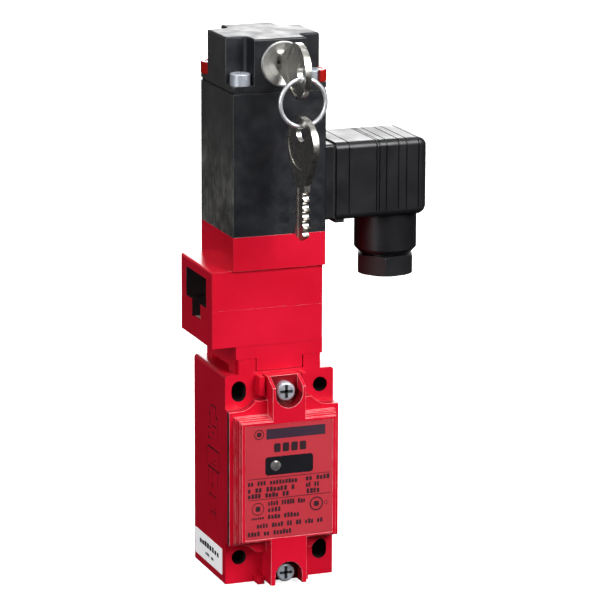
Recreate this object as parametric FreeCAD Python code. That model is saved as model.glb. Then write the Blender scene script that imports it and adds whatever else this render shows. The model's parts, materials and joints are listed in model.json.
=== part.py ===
"""Tongue interlock switch with solenoid locking, key release and a square valve-style plug.

Frame: origin at the centre of the four fixing holes, in the rear mounting plane.
+X is to the right seen from the front, +Y runs back into the machine, +Z is up.
All lengths are in millimetres.
"""
import FreeCAD, Part
import math
import os

V = FreeCAD.Vector
X, Y, Z = V(1, 0, 0), V(0, 1, 0), V(0, 0, 1)

# ---------------------------------------------------------------- clearances
RUN = 0.05            # radial running fit of a shaft in its bore
FACE = 0.15           # gap kept between a cam and its flat follower
SLACK = 0.25          # loose gap round a piece that only has to fit
HOLE_PLAY = 0.15      # radial play of a screw in a clearance hole
CROSS_REACH, CROSS_HALF = 0.70, 0.17     # arms of a cross recess, as shares of the head's radius

# ---------------------------------------------------------------- fixing pattern
FIX_X, FIX_Z = 30.0, 60.0        # hole centres
FIX_R = 2.65                     # hole radius
SLOT_STRETCH = 2.0               # extra length of the two slotted holes

# ---------------------------------------------------------------- contact housing
BODY_W, BODY_D, BODY_H = 40.0, 34.0, 75.4
FIX_TO_BASE = 9.5                # lower holes above the base
BODY_WALL = 3.2
BODY_EDGE = 1.2                  # rounding of the outer edges
EAR_HALF = 8.8                   # the fixing ears start this far from the middle
EAR_REACH = 6.0                  # the ears end this far past the hole centres
EAR_ROUND = 8.0
SEAL_STEP = 2.0                  # sealing frame stands this far in front of the ears
SEAL_TAB = 3.3                   # sealing frame reaches this far above and below the ears
POST_OUT, POST_H, POST_T = 15.0, 5.2, 2.0
LEDGE_H = 0.7                    # sill between the posts
LUG_IN, LUG_H, LUG_D = 6.9, 6.7, 4.0
FOOT_H = 2.5
ENTRY_R, ENTRY_Y, ENTRY_L = 9.25, -15.4, 17.5
CHAMBER_TOP = 61.0               # roof of the contact chamber above the base

# ---------------------------------------------------------------- cover
GASKET_T = 0.8
COVER_LAP = 0.2                  # cover overhangs the housing sides
COVER_RIM = 2.0                  # thickness of the rim that lies on the gasket
COVER_STEPS = ((1.7, 1.7, 0.7, 1.3),     # raised frames: set back at the sides, above
               (2.4, 2.3, 1.5, 2.6),     # and below, and their thickness
               (2.9, 3.1, 2.3, 1.3))
LABEL_W, LABEL_H, LABEL_T = 32.2, 41.0, 0.5
LABEL_BASE = 18.4                # label's lower edge above the base
LED_R = 1.95
LED_X, LED_UP = -6.3, 46.6       # lamp from the middle, and above the base
LED_PROUD, LED_STEM = 0.5, 4.0
LED_BOARD_W, LED_BOARD_H, LED_BOARD_T, LED_BOARD_SIDE = 20.0, 10.0, 1.2, 6.0
COVER_WELL = 5.6                 # depth of the wells for the cover screws
BOSS_ROOT = 8.0                  # the bosses run this far behind the raised frames
COVER_FLOOR = 2.0                # thickness left behind the label
BOSS_TOP_HALF, BOSS_LOW_HALF = 6.0, 6.6
BOSS_R = 4.95                    # counterbore round the cover screws
BOSS_SLOPE = 3.0                 # bevelled end of the upper boss
COVER_FOOT = 1.0                 # end of the lower boss above the base
COVER_SCREW_TOP, COVER_SCREW_LOW = 69.8, 4.3     # above the base
M4_R, M4_HEAD_R, M4_HEAD_H = 2.0, 3.4, 2.6
COVER_SCREW_L = 10.5

# ---------------------------------------------------------------- head
NECK_LEFT, HEAD_RIGHT = -15.9, 16.0
HEAD_LEFT = -24.75
HEAD_BACK = -0.7
NECK_H, LOWER_H, UPPER_H = 10.0, 13.1, 13.8
SKIRT_HALF = 8.4
NECK_SLOT_W, NECK_SLOT_H, NECK_SLOT_D = 17.4, 1.9, 3.0
HEAD_EDGE = 0.8
TONGUE_W, TONGUE_H = 21.2, 10.4          # wide part of the tongue slot
RIB_W, RIB_H = 8.8, 6.1                  # narrow part below it
WEAR_T, WEAR_L = 0.8, 11.0               # steel plate on the slot's floor
WEAR_IN, WEAR_LAP = 1.2, 0.6             # from the head's face, and under the slot's sides
HEAD_SCREW_X, HEAD_SCREW_INSET = 5.5, 3.6
M3_R, M3_HEAD_R, M3_HEAD_H = 1.5, 2.7, 3.0
HEAD_SCREW_BITE = 8.5                    # thread length in the housing

# ---------------------------------------------------------------- drum and plunger
MID_Y = -17.5                    # centre plane of the mechanism
AXLE_R = 2.0
DISC_R, DISC_W = 9.6, 7.0        # middle disc with the plunger cam and the lock notch
LOBE_R, LOBE_W = 9.2, 7.0        # side discs that carry the tongue
LOBE_BACKSET = 0.4               # side discs stay this far off the plunger head
DRUM_TURN = 45.0                 # degrees
PLUNGER_STROKE = 4.0
CAM_REACH = 8.0                  # cam height under the axle, tongue out
NOTCH_W, NOTCH_D = 6.6, 3.0
PLUNGER_R, PLUNGER_HEAD_R, PLUNGER_HEAD_H = 2.6, 6.3, 1.6
PLUNGER_NECK_R = 1.5             # neck that holds each contact bridge

# ---------------------------------------------------------------- collar, coil housing, cap
TOWER_W = 34.0
TOWER_LEFT, TOWER_FRONT = -17.35, -35.0
COLLAR_H, COIL_H = 11.9, 49.4
CAP_GASKET_T, FLANGE_T, CAP_H = 0.9, 1.9, 15.9
CAP_GASKET_IN = 0.5              # the cap gasket is set back from the faces
ARM_W = 18.7                     # width of the cap's arms
ARM_ROUND = 2.4
CAP_WALL = 1.5
CAP_SCREW_INSET = 4.0            # from each of the two nearest faces
CAP_HEAD_R, CAP_HEAD_H, CAP_HEX = 3.5, 4.0, 3.0
CAP_SCREW_BITE = 8.0
LACQUER_WALL, LACQUER_ARC = 1.5, 120.0   # lacquer seals beside two of the screw heads

# ---------------------------------------------------------------- solenoid
PIN_R = 3.0
LIFT = 3.5                       # travel of the locking pin
BUSH_R, BUSH_H = 4.6, 9.5
CAN_R, CAN_T, CAN_H, CAN_END = 12.4, 1.4, 40.5, 2.0
CAN_FOOT = 3.0                   # floor of the coil housing
BOBBIN_CORE_R, BOBBIN_BORE_R, BOBBIN_FLANGE_R = 6.0, 4.9, 10.8
BOBBIN_FLANGE_T = 1.2
ARMATURE_R, ARMATURE_H = 4.7, 21.0
POLE_H = 6.0
ROD_R = 1.6
COIL_SPRING_WIRE = 0.35

# ---------------------------------------------------------------- lock and keys
LOCK_X, LOCK_UP = 0.6, 7.1       # axis from the middle, and above the cap flange
LOCK_PROUD = 0.5
LOCK_FACE_R, LOCK_BODY_R, LOCK_RIM_T = 7.9, 6.9, 1.6
LOCK_L = 20.5
LOCK_NUT_R, LOCK_NUT_T = 8.6, 2.2
PLUG_R = 5.0
DISH_R, DISH_DEPTH = 7.2, 1.4
WELL_R, WELL_DEPTH = 2.7, 1.1    # round well in the middle of the dish
KEY_T, KEY_BLADE_W, KEY_BLADE_L = 2.2, 6.4, 19.5
KEY_PLAY = 0.15
BOW_R, BOW_L, SHOULDER_W = 9.5, 22.8, 7.6
BOW_RIM, BOW_SUNK = 1.2, 0.2     # raised border of the bow
FLUTE_W, FLUTE_DEEP = 1.3, 0.6   # milled grooves along the blade
KEY_HOLE_R, KEY_HOLE_END = 3.1, 5.3
KEY_STANDOFF = 1.6               # bow shoulder in front of the lock face
KEY_CUTS, KEY_CUT_R, KEY_CUT_DEEP = 5, 1.5, 1.3
RING_R, RING_WIRE_R = 8.0, 0.9
SPARE_TWIST = 8.0                # degrees
HANG = 0.1                       # gap where the ring and keys hang
LOCK_CAM_W, LOCK_CAM_LOW = 2.4, 2.6
SHELF_T = 0.8

# ---------------------------------------------------------------- connector
PLUG_S = 27.3                    # side of the square plug
PLUG_RISE = 2.5                  # plug's underside above the collar's top
BASE_T, SEAL_T, PLUG_L = 4.2, 0.9, 34.4
PLUG_WALL = 1.8
PLUG_EDGE, PLUG_END = 2.4, 3.6
NECK_R, NECK_L, NECK_CHAMFER = 11.0, 16.6, 1.8
NECK_BORE_R = 8.0
NUT_R, NUT_L, NUT_GAP = 11.0, 7.0, 0.5
NUT_BEVEL, NUT_BITE = 1.2, 4.0   # corners turned off, and length in the neck
NUT_TURN = 9.3                   # degrees, where the hexagon ended up when tightened
CABLE_R = 4.5
GLAND_WASHER_T, GLAND_SEAL_L = 0.9, 6.0
BLADE_W, BLADE_T, BLADE_L, BLADE_PITCH = 6.3, 0.8, 9.5, 18.0
INSERT_L = 14.0
GROOVES = (4.4, 14.6, 15.7, 18.3, 22.8, 25.8, 30.3)   # round the plug, from its open end
GROOVE_W, GROOVE_D = 0.45, 0.4

# ---------------------------------------------------------------- contact block
BLOCK_W, BLOCK_D = 27.0, 20.0
BLOCK_BELOW, BLOCK_ABOVE = 6.5, 6.0      # room under and over the block in its chamber
EARTH_INSET, EARTH_UP = 4.0, 3.2         # earth screw, from the chamber's side and floor
BRIDGE_W, BRIDGE_D, BRIDGE_T = 17.0, 4.4, 0.9
ROW_FIRST, ROW_LAST = 4.5, 7.5           # first and last bridges from the block's ends
CONTACT_T, CONTACT_GAP = 0.8, 0.2
TAB_IN, TAB_H, TAB_T = 9.3, 4.6, 1.0
BLOCK_EAR, BLOCK_EAR_T = 2.3, 3.0        # screw ears stand this far past the block
SCREW_DIP = 2.3                  # depth of the small screws in the chamber's back wall
TERMINAL_R, TERMINAL_HEAD_R, TERMINAL_L = 1.2, 1.75, 3.4
SPRING_R, SPRING_WIRE = 4.4, 0.45        # plunger spring
WASHER_R, WASHER_T = 3.0, 1.2    # clamp washer of the earth screw

# ---------------------------------------------------------------- levels worked out
BASE = -(FIX_Z / 2 + FIX_TO_BASE)
BODY_TOP = BASE + BODY_H
POST_TOP = BODY_TOP + POST_H
LEDGE = BODY_TOP + LEDGE_H
OVERHANG = BODY_TOP + NECK_H
SPLIT = OVERHANG + LOWER_H
HEAD_TOP = SPLIT + UPPER_H
COLLAR_TOP = HEAD_TOP + COLLAR_H
COIL_TOP = COLLAR_TOP + COIL_H
FLANGE_LOW = COIL_TOP + CAP_GASKET_T
FLANGE_TOP = FLANGE_LOW + FLANGE_T
TOP = FLANGE_TOP + CAP_H

EAR_Y = -BODY_D
SEAL_Y = EAR_Y - SEAL_STEP
COVER_BACK = SEAL_Y - GASKET_T
COVER_FRONT = COVER_BACK - COVER_RIM - sum(step[-1] for step in COVER_STEPS)
EAR_LOW = -FIX_Z / 2 + EAR_REACH
EAR_HIGH = FIX_Z / 2 - EAR_REACH

TOWER_RIGHT, TOWER_BACK = TOWER_LEFT + TOWER_W, TOWER_FRONT + TOWER_W
AXIS_X = (TOWER_LEFT + TOWER_RIGHT) / 2
TOWER_MID = (TOWER_FRONT + TOWER_BACK) / 2

DRUM_W = DISC_W + 2 * LOBE_W
CAVITY_R = DISC_R + 0.7
TURN = math.radians(DRUM_TURN)
PIN_TIP = SPLIT + DISC_R + FACE
PLUNGER_TOP = SPLIT - CAM_REACH - FACE
LOCK_Z = FLANGE_TOP + LOCK_UP
LOCK_FACE_Y = TOWER_FRONT - LOCK_PROUD
KEY_ROOT_Y = LOCK_FACE_Y - KEY_STANDOFF
KEY_HOLE_Y = KEY_ROOT_Y - (BOW_L - KEY_HOLE_END)
RING_TOP = LOCK_Z - KEY_HOLE_R + HANG + RING_WIRE_R
RING_LOW = RING_TOP - 2 * RING_R
SPARE_HOLE = RING_LOW + RING_WIRE_R + HANG - KEY_HOLE_R

ROOM_HALF, ROOM_BACK = BODY_W / 2 - BODY_WALL - 0.4, -BODY_WALL
ROOM_LOW, ROOM_HIGH = BASE + ENTRY_L, BASE + CHAMBER_TOP
BLOCK_BASE = ENTRY_L + BLOCK_BELOW
BLOCK_H = CHAMBER_TOP - BLOCK_ABOVE - BLOCK_BASE
ROW_PITCH = (BLOCK_H - ROW_FIRST - ROW_LAST) / 2
BOBBIN_H = CAN_H - 2 * CAN_END - 0.5


# ================================================================ helpers
def box(x0, x1, y0, y1, z0, z1):
    return Part.makeBox(x1 - x0, y1 - y0, z1 - z0, V(x0, y0, z0))


def rod(radius, start, direction, length):
    return Part.makeCylinder(radius, length, V(*start), direction)


def tube(outer, inner, start, direction, length):
    return rod(outer, start, direction, length).cut(rod(inner, start, direction, length))


def joined(pieces):
    """One solid out of pieces that share volume."""
    return pieces[0].multiFuse(pieces[1:]).removeSplitter()


def runs_along(edge, axis):
    """True for a straight edge parallel to axis."""
    if len(edge.Vertexes) != 2:
        return False
    step = edge.Vertexes[1].Point.sub(edge.Vertexes[0].Point)
    return abs(step.Length - edge.Length) < 1e-6 and abs(abs(step.dot(axis)) - step.Length) < 1e-6


def rounded(shape, radius, wanted):
    """Fillet the edges for which wanted(edge, middle) is true."""
    picked = [edge for edge in shape.Edges if wanted(edge, edge.CenterOfMass)]
    return shape.makeFillet(radius, picked)


def upright_edges(edge, _middle):
    return runs_along(edge, Z)


def plate(points, axis, start, depth):
    """Extrude a closed outline of (across, up) points along axis from the plane at start."""
    if axis == Y:
        corners = [V(a, start, b) for a, b in points]
    elif axis == X:
        corners = [V(start, a, b) for a, b in points]
    else:
        corners = [V(a, b, start) for a, b in points]
    return Part.Face(Part.makePolygon(corners + corners[:1])).extrude(axis * depth)


def spring(mean_r, wire_r, turns, centre, low, high):
    """Compression spring that stands upright between low and high."""
    height = high - low - 2 * wire_r
    helix = Part.makeHelix(height / turns, height, mean_r)
    helix.translate(V(centre[0], centre[1], low + wire_r))
    start = V(centre[0] + mean_r, centre[1], low + wire_r)
    section = Part.Wire(Part.makeCircle(wire_r, start, Y))
    return Part.Wire(helix.Edges).makePipeShell([section], True, True)


def pan_screw(start, direction, length, shank_r, head_r, head_h):
    """Cross-head screw: start is the seat under the head, direction the way the shank runs."""
    seat = V(*start)
    head = Part.makeCylinder(head_r, head_h, seat - direction * head_h, direction)
    rim = [edge for edge in head.Edges if edge.Closed and (edge.CenterOfMass - seat).Length > head_h / 2]
    head = head.makeFillet(head_h * 0.35, rim)
    side = Z if abs(direction.dot(Z)) < 0.5 else X
    other = direction.cross(side)
    crown = seat - direction * (head_h + 0.01)
    reach, half = head_r * CROSS_REACH, head_r * CROSS_HALF
    for along, across in ((side, other), (other, side)):
        ends = [(-reach, -half), (reach, -half), (reach, half), (-reach, half)]
        slot = [crown + along * a + across * b for a, b in ends]
        head = head.cut(Part.Face(Part.makePolygon(slot + slot[:1])).extrude(direction * head_h * 0.6))
    return head.fuse(rod(shank_r, start, direction, length)).removeSplitter()


def socket_screw(start, direction, length, shank_r, head_r, head_h, hex_across):
    """Hexagon socket screw: start is the seat under the head."""
    seat = V(*start)
    head = Part.makeCylinder(head_r, head_h, seat - direction * head_h, direction)
    rim = [edge for edge in head.Edges if edge.Closed and (edge.CenterOfMass - seat).Length > head_h / 2]
    head = head.makeFillet(0.4, rim)
    reach = hex_across / math.sqrt(3)
    corners = [V(reach * math.cos(k * math.pi / 3), reach * math.sin(k * math.pi / 3), 0) for k in range(6)]
    socket = Part.Face(Part.makePolygon(corners + corners[:1])).extrude(Z * head_h * 0.6)
    socket.rotate(V(0, 0, 0), X, 180 if direction.z < 0 else 0)
    socket.translate(seat - direction * (head_h + 0.01))
    return head.cut(socket).fuse(rod(shank_r, start, direction, length)).removeSplitter()


def involute_cam(low, rate, first, last, toward, start, centre):
    """Disc cam whose support height over the angle a is low + rate * a.

    A flat follower that rests on it moves by rate for each radian of turn.
    toward maps the angle to a unit vector (x, z) and its derivative.
    """
    steps = 14
    contour = []
    for k in range(steps + 1):
        a = first + (last - first) * k / steps
        (nx, nz), (tx, tz) = toward(a)
        height = low + rate * a
        contour.append(V(centre[0] + height * nx + rate * tx, start, centre[1] + height * nz + rate * tz))
    curve = Part.BSplineCurve()
    curve.interpolate(contour)
    return curve, contour


# ================================================================ contact housing
def fixing_centres():
    return [(sx * FIX_X / 2, sz * FIX_Z / 2) for sx in (-1, 1) for sz in (-1, 1)]


def ear_pocket(side, top, inset, y0, y1):
    """Volume in front of one fixing ear, with its inner corner rounded."""
    half = EAR_HALF - inset
    level = (EAR_HIGH - inset) if top else (EAR_LOW + inset)
    far_x = BODY_W
    x0, x1 = (half, far_x) if side > 0 else (-far_x, -half)
    z0, z1 = (level, level + BODY_H) if top else (level - BODY_H, level)
    block = box(x0, x1, y0, y1, z0, z1)
    corner = V(side * half, 0, level)
    return rounded(block, EAR_ROUND, lambda e, m: runs_along(e, Y) and abs(m.x - corner.x) < 0.01
                   and abs(m.z - corner.z) < 0.01)


def frame_plate(half_w, inset, y_front, y_back):
    """A plate with the outline of the sealing frame, brought in by inset."""
    shape = box(-half_w, half_w, y_front, y_back,
                EAR_LOW - SEAL_TAB + inset * 0.5, EAR_HIGH + SEAL_TAB - inset * 0.5)
    for side in (-1, 1):
        for top in (False, True):
            shape = shape.cut(ear_pocket(side, top, inset, y_front - 1, y_back + 1))
    return shape


def housing():
    half = BODY_W / 2
    block = box(-half, half, EAR_Y, 0, BASE, BODY_TOP)
    block = rounded(block, BODY_EDGE, lambda e, m: (runs_along(e, Z) and m.y > EAR_Y / 2)
                    or (m.z > BODY_TOP - 0.01 and m.y > EAR_Y + 1))
    pieces = [block, frame_plate(half, 0.0, SEAL_Y, EAR_Y + 1)]
    for front in (EAR_Y, HEAD_BACK - POST_T):
        for side in (-1, 1):
            x0, x1 = sorted((side * EAR_HALF, side * POST_OUT))
            pieces.append(box(x0, x1, front, front + POST_T, BODY_TOP - 2, POST_TOP))
    pieces.append(box(-EAR_HALF - 1, EAR_HALF + 1, EAR_Y, EAR_Y + POST_T, BODY_TOP - 2, LEDGE))
    for side in (-1, 1):
        x0, x1 = sorted((side * LUG_IN, side * EAR_HALF))
        pieces.append(box(x0, x1, EAR_Y - LUG_D, EAR_Y + 1, BODY_TOP - 0.4 - LUG_H, BODY_TOP - 0.4))
        x0, x1 = sorted((side * (BOSS_LOW_HALF + 0.3), side * (EAR_HALF + 0.6)))
        pieces.append(box(x0, x1, EAR_Y - LUG_D, EAR_Y + 1, BASE, BASE + FOOT_H))
    shape = joined(pieces)
    chamber = box(-ROOM_HALF, ROOM_HALF, SEAL_Y - 1, ROOM_BACK, ROOM_LOW, ROOM_HIGH)
    shape = shape.cut(rounded(chamber, 2.5, lambda e, m: runs_along(e, Y)))
    for x, z in fixing_centres():
        hole = rod(FIX_R, (x, SEAL_Y - 1, z), Y, BODY_D + SEAL_STEP + 2)
        if x * z < 0:
            stretch = [rod(FIX_R, (x, SEAL_Y - 1, z + s * SLOT_STRETCH / 2), Y, BODY_D + SEAL_STEP + 2)
                       for s in (-1, 1)]
            web = box(x - FIX_R, x + FIX_R, SEAL_Y - 1, 1, z - SLOT_STRETCH / 2, z + SLOT_STRETCH / 2)
            hole = joined(stretch + [web])
        shape = shape.cut(hole)
    shape = shape.cut(rod(ENTRY_R, (0, ENTRY_Y, BASE - 1), Z, ROOM_LOW - BASE + 2))
    for level in (COVER_SCREW_TOP, COVER_SCREW_LOW):
        shape = shape.cut(rod(M4_R, (0, SEAL_Y - 1, BASE + level), Y, COVER_SCREW_L))
    shape = shape.cut(rod(PLUNGER_R + 1.2, (AXIS_X, MID_Y, ROOM_HIGH - 1), Z, LEDGE - ROOM_HIGH + 2))
    for x, y in head_screw_centres():
        shape = shape.cut(rod(M3_R, (x, y, BODY_TOP - HEAD_SCREW_BITE), Z, HEAD_SCREW_BITE + 2))
    for x, z in block_screw_centres():
        shape = shape.cut(rod(M3_R, (x, ROOM_BACK - 0.01, z), Y, SCREW_DIP + 0.3))
    x, z = earth_centre()
    return shape.cut(rod(M3_R, (x, ROOM_BACK - 0.01, z), Y, SCREW_DIP + 0.3))


def cover_gasket():
    ring = frame_plate(BODY_W / 2 - 0.1, 0.1, COVER_BACK, SEAL_Y)
    return ring.cut(box(-ROOM_HALF, ROOM_HALF, COVER_BACK - 1, SEAL_Y + 1, ROOM_LOW, ROOM_HIGH))


def cover():
    half = BODY_W / 2 + COVER_LAP
    y_back = COVER_BACK - COVER_RIM
    pieces = [frame_plate(half, 0.0, y_back, COVER_BACK)]
    for side, above, below, depth in COVER_STEPS:
        pieces.append(box(side - half, half - side, y_back - depth, y_back + 0.5,
                          EAR_LOW + below, EAR_HIGH - above))
        y_back -= depth
    top, low = BASE + COVER_SCREW_TOP, BASE + COVER_SCREW_LOW
    crest = BODY_TOP - 0.2
    frame_top, frame_low = EAR_HIGH + SEAL_TAB + 0.2, EAR_LOW - SEAL_TAB - 0.2
    profile = [(COVER_BACK, frame_top), (EAR_Y - 0.3, frame_top), (EAR_Y - 0.3, crest),
               (COVER_BACK - 1.6, crest), (COVER_FRONT, crest - BOSS_SLOPE),
               (COVER_FRONT, EAR_HIGH - BOSS_ROOT), (COVER_BACK, EAR_HIGH - BOSS_ROOT)]
    upper = plate(profile, X, -BOSS_TOP_HALF, 2 * BOSS_TOP_HALF)
    sole = BASE + COVER_FOOT
    profile = [(COVER_BACK, EAR_LOW + BOSS_ROOT), (COVER_FRONT, EAR_LOW + BOSS_ROOT), (COVER_FRONT, sole),
               (EAR_Y - 0.3, sole), (EAR_Y - 0.3, frame_low), (COVER_BACK, frame_low)]
    lower = plate(profile, X, -BOSS_LOW_HALF, 2 * BOSS_LOW_HALF)
    shape = joined(pieces + [upper, lower])
    seat = COVER_FRONT + COVER_WELL
    for centre, way in ((top, 1), (low, -1)):
        pocket = rod(BOSS_R, (0, COVER_FRONT - 1, centre), Y, seat - COVER_FRONT + 1)
        z0, z1 = sorted((centre, centre + way * 12))
        mouth = box(-BOSS_R, BOSS_R, COVER_FRONT - 1, seat, z0, z1)
        shape = shape.cut(pocket).cut(mouth)
        shape = shape.cut(rod(M4_R + HOLE_PLAY, (0, COVER_FRONT, centre), Y, 20))
    z0 = BASE + LABEL_BASE
    recess = box(-LABEL_W / 2, LABEL_W / 2, COVER_FRONT - 1, COVER_FRONT + LABEL_T, z0, z0 + LABEL_H)
    hollow_half = ROOM_HALF - 1.2
    hollow = box(-hollow_half, hollow_half, COVER_FRONT + COVER_FLOOR, COVER_BACK + 1,
                 ROOM_LOW + 2.5, ROOM_HIGH - 2.5)
    shape = shape.cut(recess).cut(hollow)
    x, z = led_centre()
    return shape.cut(rod(LED_R + SLACK, (x, COVER_FRONT - 1, z), Y, 12))


def led_centre():
    return LED_X, BASE + LED_UP


def label_plate():
    z0 = BASE + LABEL_BASE + 0.1
    half = LABEL_W / 2 - 0.1
    shape = box(-half, half, COVER_FRONT + 0.05, COVER_FRONT + LABEL_T, z0, z0 + LABEL_H - 0.2)
    x, z = led_centre()
    return shape.cut(rod(LED_R + 0.1, (x, COVER_FRONT - 1, z), Y, 3))


def led_lens():
    x, z = led_centre()
    front = COVER_FRONT - LED_PROUD
    stem = rod(LED_R, (x, front, z), Y, LED_STEM + LED_PROUD)
    stem = rounded(stem, 0.4, lambda e, m: e.BoundBox.YMax < front + 0.01)
    flange_y = COVER_FRONT + COVER_FLOOR + 0.4
    flange = rod(LED_R + 0.5, (x, flange_y, z), Y, COVER_FRONT + LED_STEM - flange_y)
    return joined([stem, flange])


def led_board():
    x, z = led_centre()
    y = COVER_FRONT + LED_STEM + 0.05
    return box(x - LED_BOARD_SIDE, x - LED_BOARD_SIDE + LED_BOARD_W, y, y + LED_BOARD_T,
               z - LED_BOARD_H / 2, z + LED_BOARD_H / 2)


def cover_screws():
    seat = COVER_FRONT + COVER_WELL
    length = SEAL_Y - 1 + COVER_SCREW_L - seat - 0.5
    return Part.makeCompound([pan_screw((0, seat, BASE + up), Y, length, M4_R, M4_HEAD_R, M4_HEAD_H)
                              for up in (COVER_SCREW_TOP, COVER_SCREW_LOW)])


# ================================================================ contacts
def block_screw_centres():
    return [(-9.5, BASE + BLOCK_BASE - BLOCK_EAR), (9.5, BASE + BLOCK_BASE + BLOCK_H + BLOCK_EAR)]


def earth_centre():
    return ROOM_HALF - EARTH_INSET, ROOM_LOW + EARTH_UP


def block_span():
    return ROOM_BACK - BLOCK_D, ROOM_BACK


def bridge_levels():
    low = BASE + BLOCK_BASE + ROW_FIRST
    return [low + k * ROW_PITCH for k in range(3)]


def contact_block():
    y0, y1 = block_span()
    z0 = BASE + BLOCK_BASE
    z1 = z0 + BLOCK_H
    shape = box(-BLOCK_W / 2, BLOCK_W / 2, y0, y1, z0, z1)
    for x, z in block_screw_centres():
        a, b = (z - 2.4, z0 + 1) if z < z0 else (z1 - 1, z + 2.4)
        shape = shape.fuse(box(x - 3.0, x + 3.0, y1 - BLOCK_EAR_T, y1, a, b))
        shape = shape.cut(rod(M3_R + HOLE_PLAY, (x, y1 - 4, z), Y, 5))
    shape = shape.cut(rod(PLUNGER_R + RUN, (AXIS_X, MID_Y, z0 - 1), Z, BLOCK_H + 2))
    for row in range(3):
        low, high = row_window(row)
        shape = shape.cut(box(-BLOCK_W, BLOCK_W, y0 - 1, MID_Y + BRIDGE_D / 2 + 0.4, low, high))
    return shape.removeSplitter()


def contact_level(row):
    """Underside of the fixed contact: row 0 opens and the upper rows close as the plunger rises."""
    level = bridge_levels()[row]
    if row == 0:
        return level - CONTACT_GAP - CONTACT_T
    return level + BRIDGE_T + PLUNGER_STROKE + CONTACT_GAP


def row_window(row):
    """Height of the chamber a bridge moves in: the fixed contact lies on its floor or roof."""
    level = bridge_levels()[row]
    if row == 0:
        return contact_level(row), level + BRIDGE_T + PLUNGER_STROKE + 0.8
    return level - 0.8, contact_level(row) + CONTACT_T


def fixed_contacts():
    """Leaf with an upturned or downturned tab in front for the terminal screw."""
    y0, _ = block_span()
    strips = []
    for row in range(3):
        z = contact_level(row)
        tab_low = z if row == 0 else z + CONTACT_T - TAB_H
        for side in (-1, 1):
            x0, x1 = sorted((AXIS_X + side * 5.4, side * (BLOCK_W / 2 - 0.6)))
            leaf = box(x0, x1, y0 + 0.4, MID_Y + BRIDGE_D / 2, z, z + CONTACT_T)
            x0, x1 = sorted((side * TAB_IN, side * (BLOCK_W / 2 - 0.6)))
            tab = box(x0, x1, y0 + 0.4, y0 + 0.4 + TAB_T, tab_low, tab_low + TAB_H)
            strips.append(joined([leaf, tab]).cut(terminal_hole(row, side)))
    return Part.makeCompound(strips)


def terminal_place(row, side):
    y0, _ = block_span()
    z = contact_level(row)
    centre = z + CONTACT_T + 2.0 if row == 0 else z - 2.0
    return side * (TAB_IN + BLOCK_W / 2 - 0.6) / 2, y0 + 0.4, centre


def terminal_hole(row, side):
    x, y, z = terminal_place(row, side)
    return rod(TERMINAL_R, (x, y - 1, z), Y, TERMINAL_L + 0.6)


def terminal_screws():
    sizes = (TERMINAL_L, TERMINAL_R, TERMINAL_HEAD_R, 0.8 * TERMINAL_HEAD_R)
    return Part.makeCompound([pan_screw(terminal_place(row, side), Y, *sizes)
                              for row in range(3) for side in (-1, 1)])


def contact_bridges():
    plates = []
    for level in bridge_levels():
        strip = box(AXIS_X - BRIDGE_W / 2, AXIS_X + BRIDGE_W / 2,
                    MID_Y - BRIDGE_D / 2, MID_Y + BRIDGE_D / 2, level, level + BRIDGE_T)
        strip = strip.cut(rod(PLUNGER_NECK_R, (AXIS_X, MID_Y, level - 1), Z, BRIDGE_T + 2))
        plates.append(strip)
    return Part.makeCompound(plates)


def plunger():
    bottom = BASE + BLOCK_BASE - 2.0
    stem = rod(PLUNGER_R, (AXIS_X, MID_Y, bottom), Z, PLUNGER_TOP - PLUNGER_HEAD_H - bottom)
    head = rod(PLUNGER_HEAD_R, (AXIS_X, MID_Y, PLUNGER_TOP - PLUNGER_HEAD_H), Z, PLUNGER_HEAD_H)
    shape = joined([stem, head])
    for level in bridge_levels():
        groove = tube(PLUNGER_R + 1, PLUNGER_NECK_R, (AXIS_X, MID_Y, level), Z, BRIDGE_T)
        shape = shape.cut(groove)
    return shape


def plunger_spring():
    low, high = BODY_TOP + 0.5, PLUNGER_TOP - PLUNGER_HEAD_H - 0.1
    return spring(SPRING_R, SPRING_WIRE, 5, (AXIS_X, MID_Y), low, high)


def block_screws():
    seat = block_span()[1] - BLOCK_EAR_T
    sizes = (BLOCK_EAR_T + SCREW_DIP, M3_R, 1.5 * M3_R, 1.2 * M3_R)
    return Part.makeCompound([pan_screw((x, seat, z), Y, *sizes) for x, z in block_screw_centres()])


def earth_screw():
    x, z = earth_centre()
    seat = ROOM_BACK - WASHER_T
    washer = tube(WASHER_R, M3_R, (x, seat, z), Y, WASHER_T)
    screw = pan_screw((x, seat, z), Y, WASHER_T + SCREW_DIP, M3_R, M3_HEAD_R, 0.7 * M3_HEAD_R)
    return washer.fuse(screw).removeSplitter()


# ================================================================ head
def head_screw_centres():
    front, back = TOWER_FRONT + HEAD_SCREW_INSET, TOWER_BACK - HEAD_SCREW_INSET
    return [(x, y) for x in (-HEAD_SCREW_X, HEAD_SCREW_X) for y in (front, back)]


def drum_room():
    """Space the drum turns in, shared by both shells."""
    half = DRUM_W / 2 + SLACK
    room = rod(CAVITY_R, (AXIS_X, MID_Y - half, SPLIT), Y, 2 * half)
    return room.fuse(rod(AXLE_R + 0.02, (AXIS_X, EAR_Y + 2.4, SPLIT), Y, HEAD_BACK - EAR_Y - 4.8))


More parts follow.
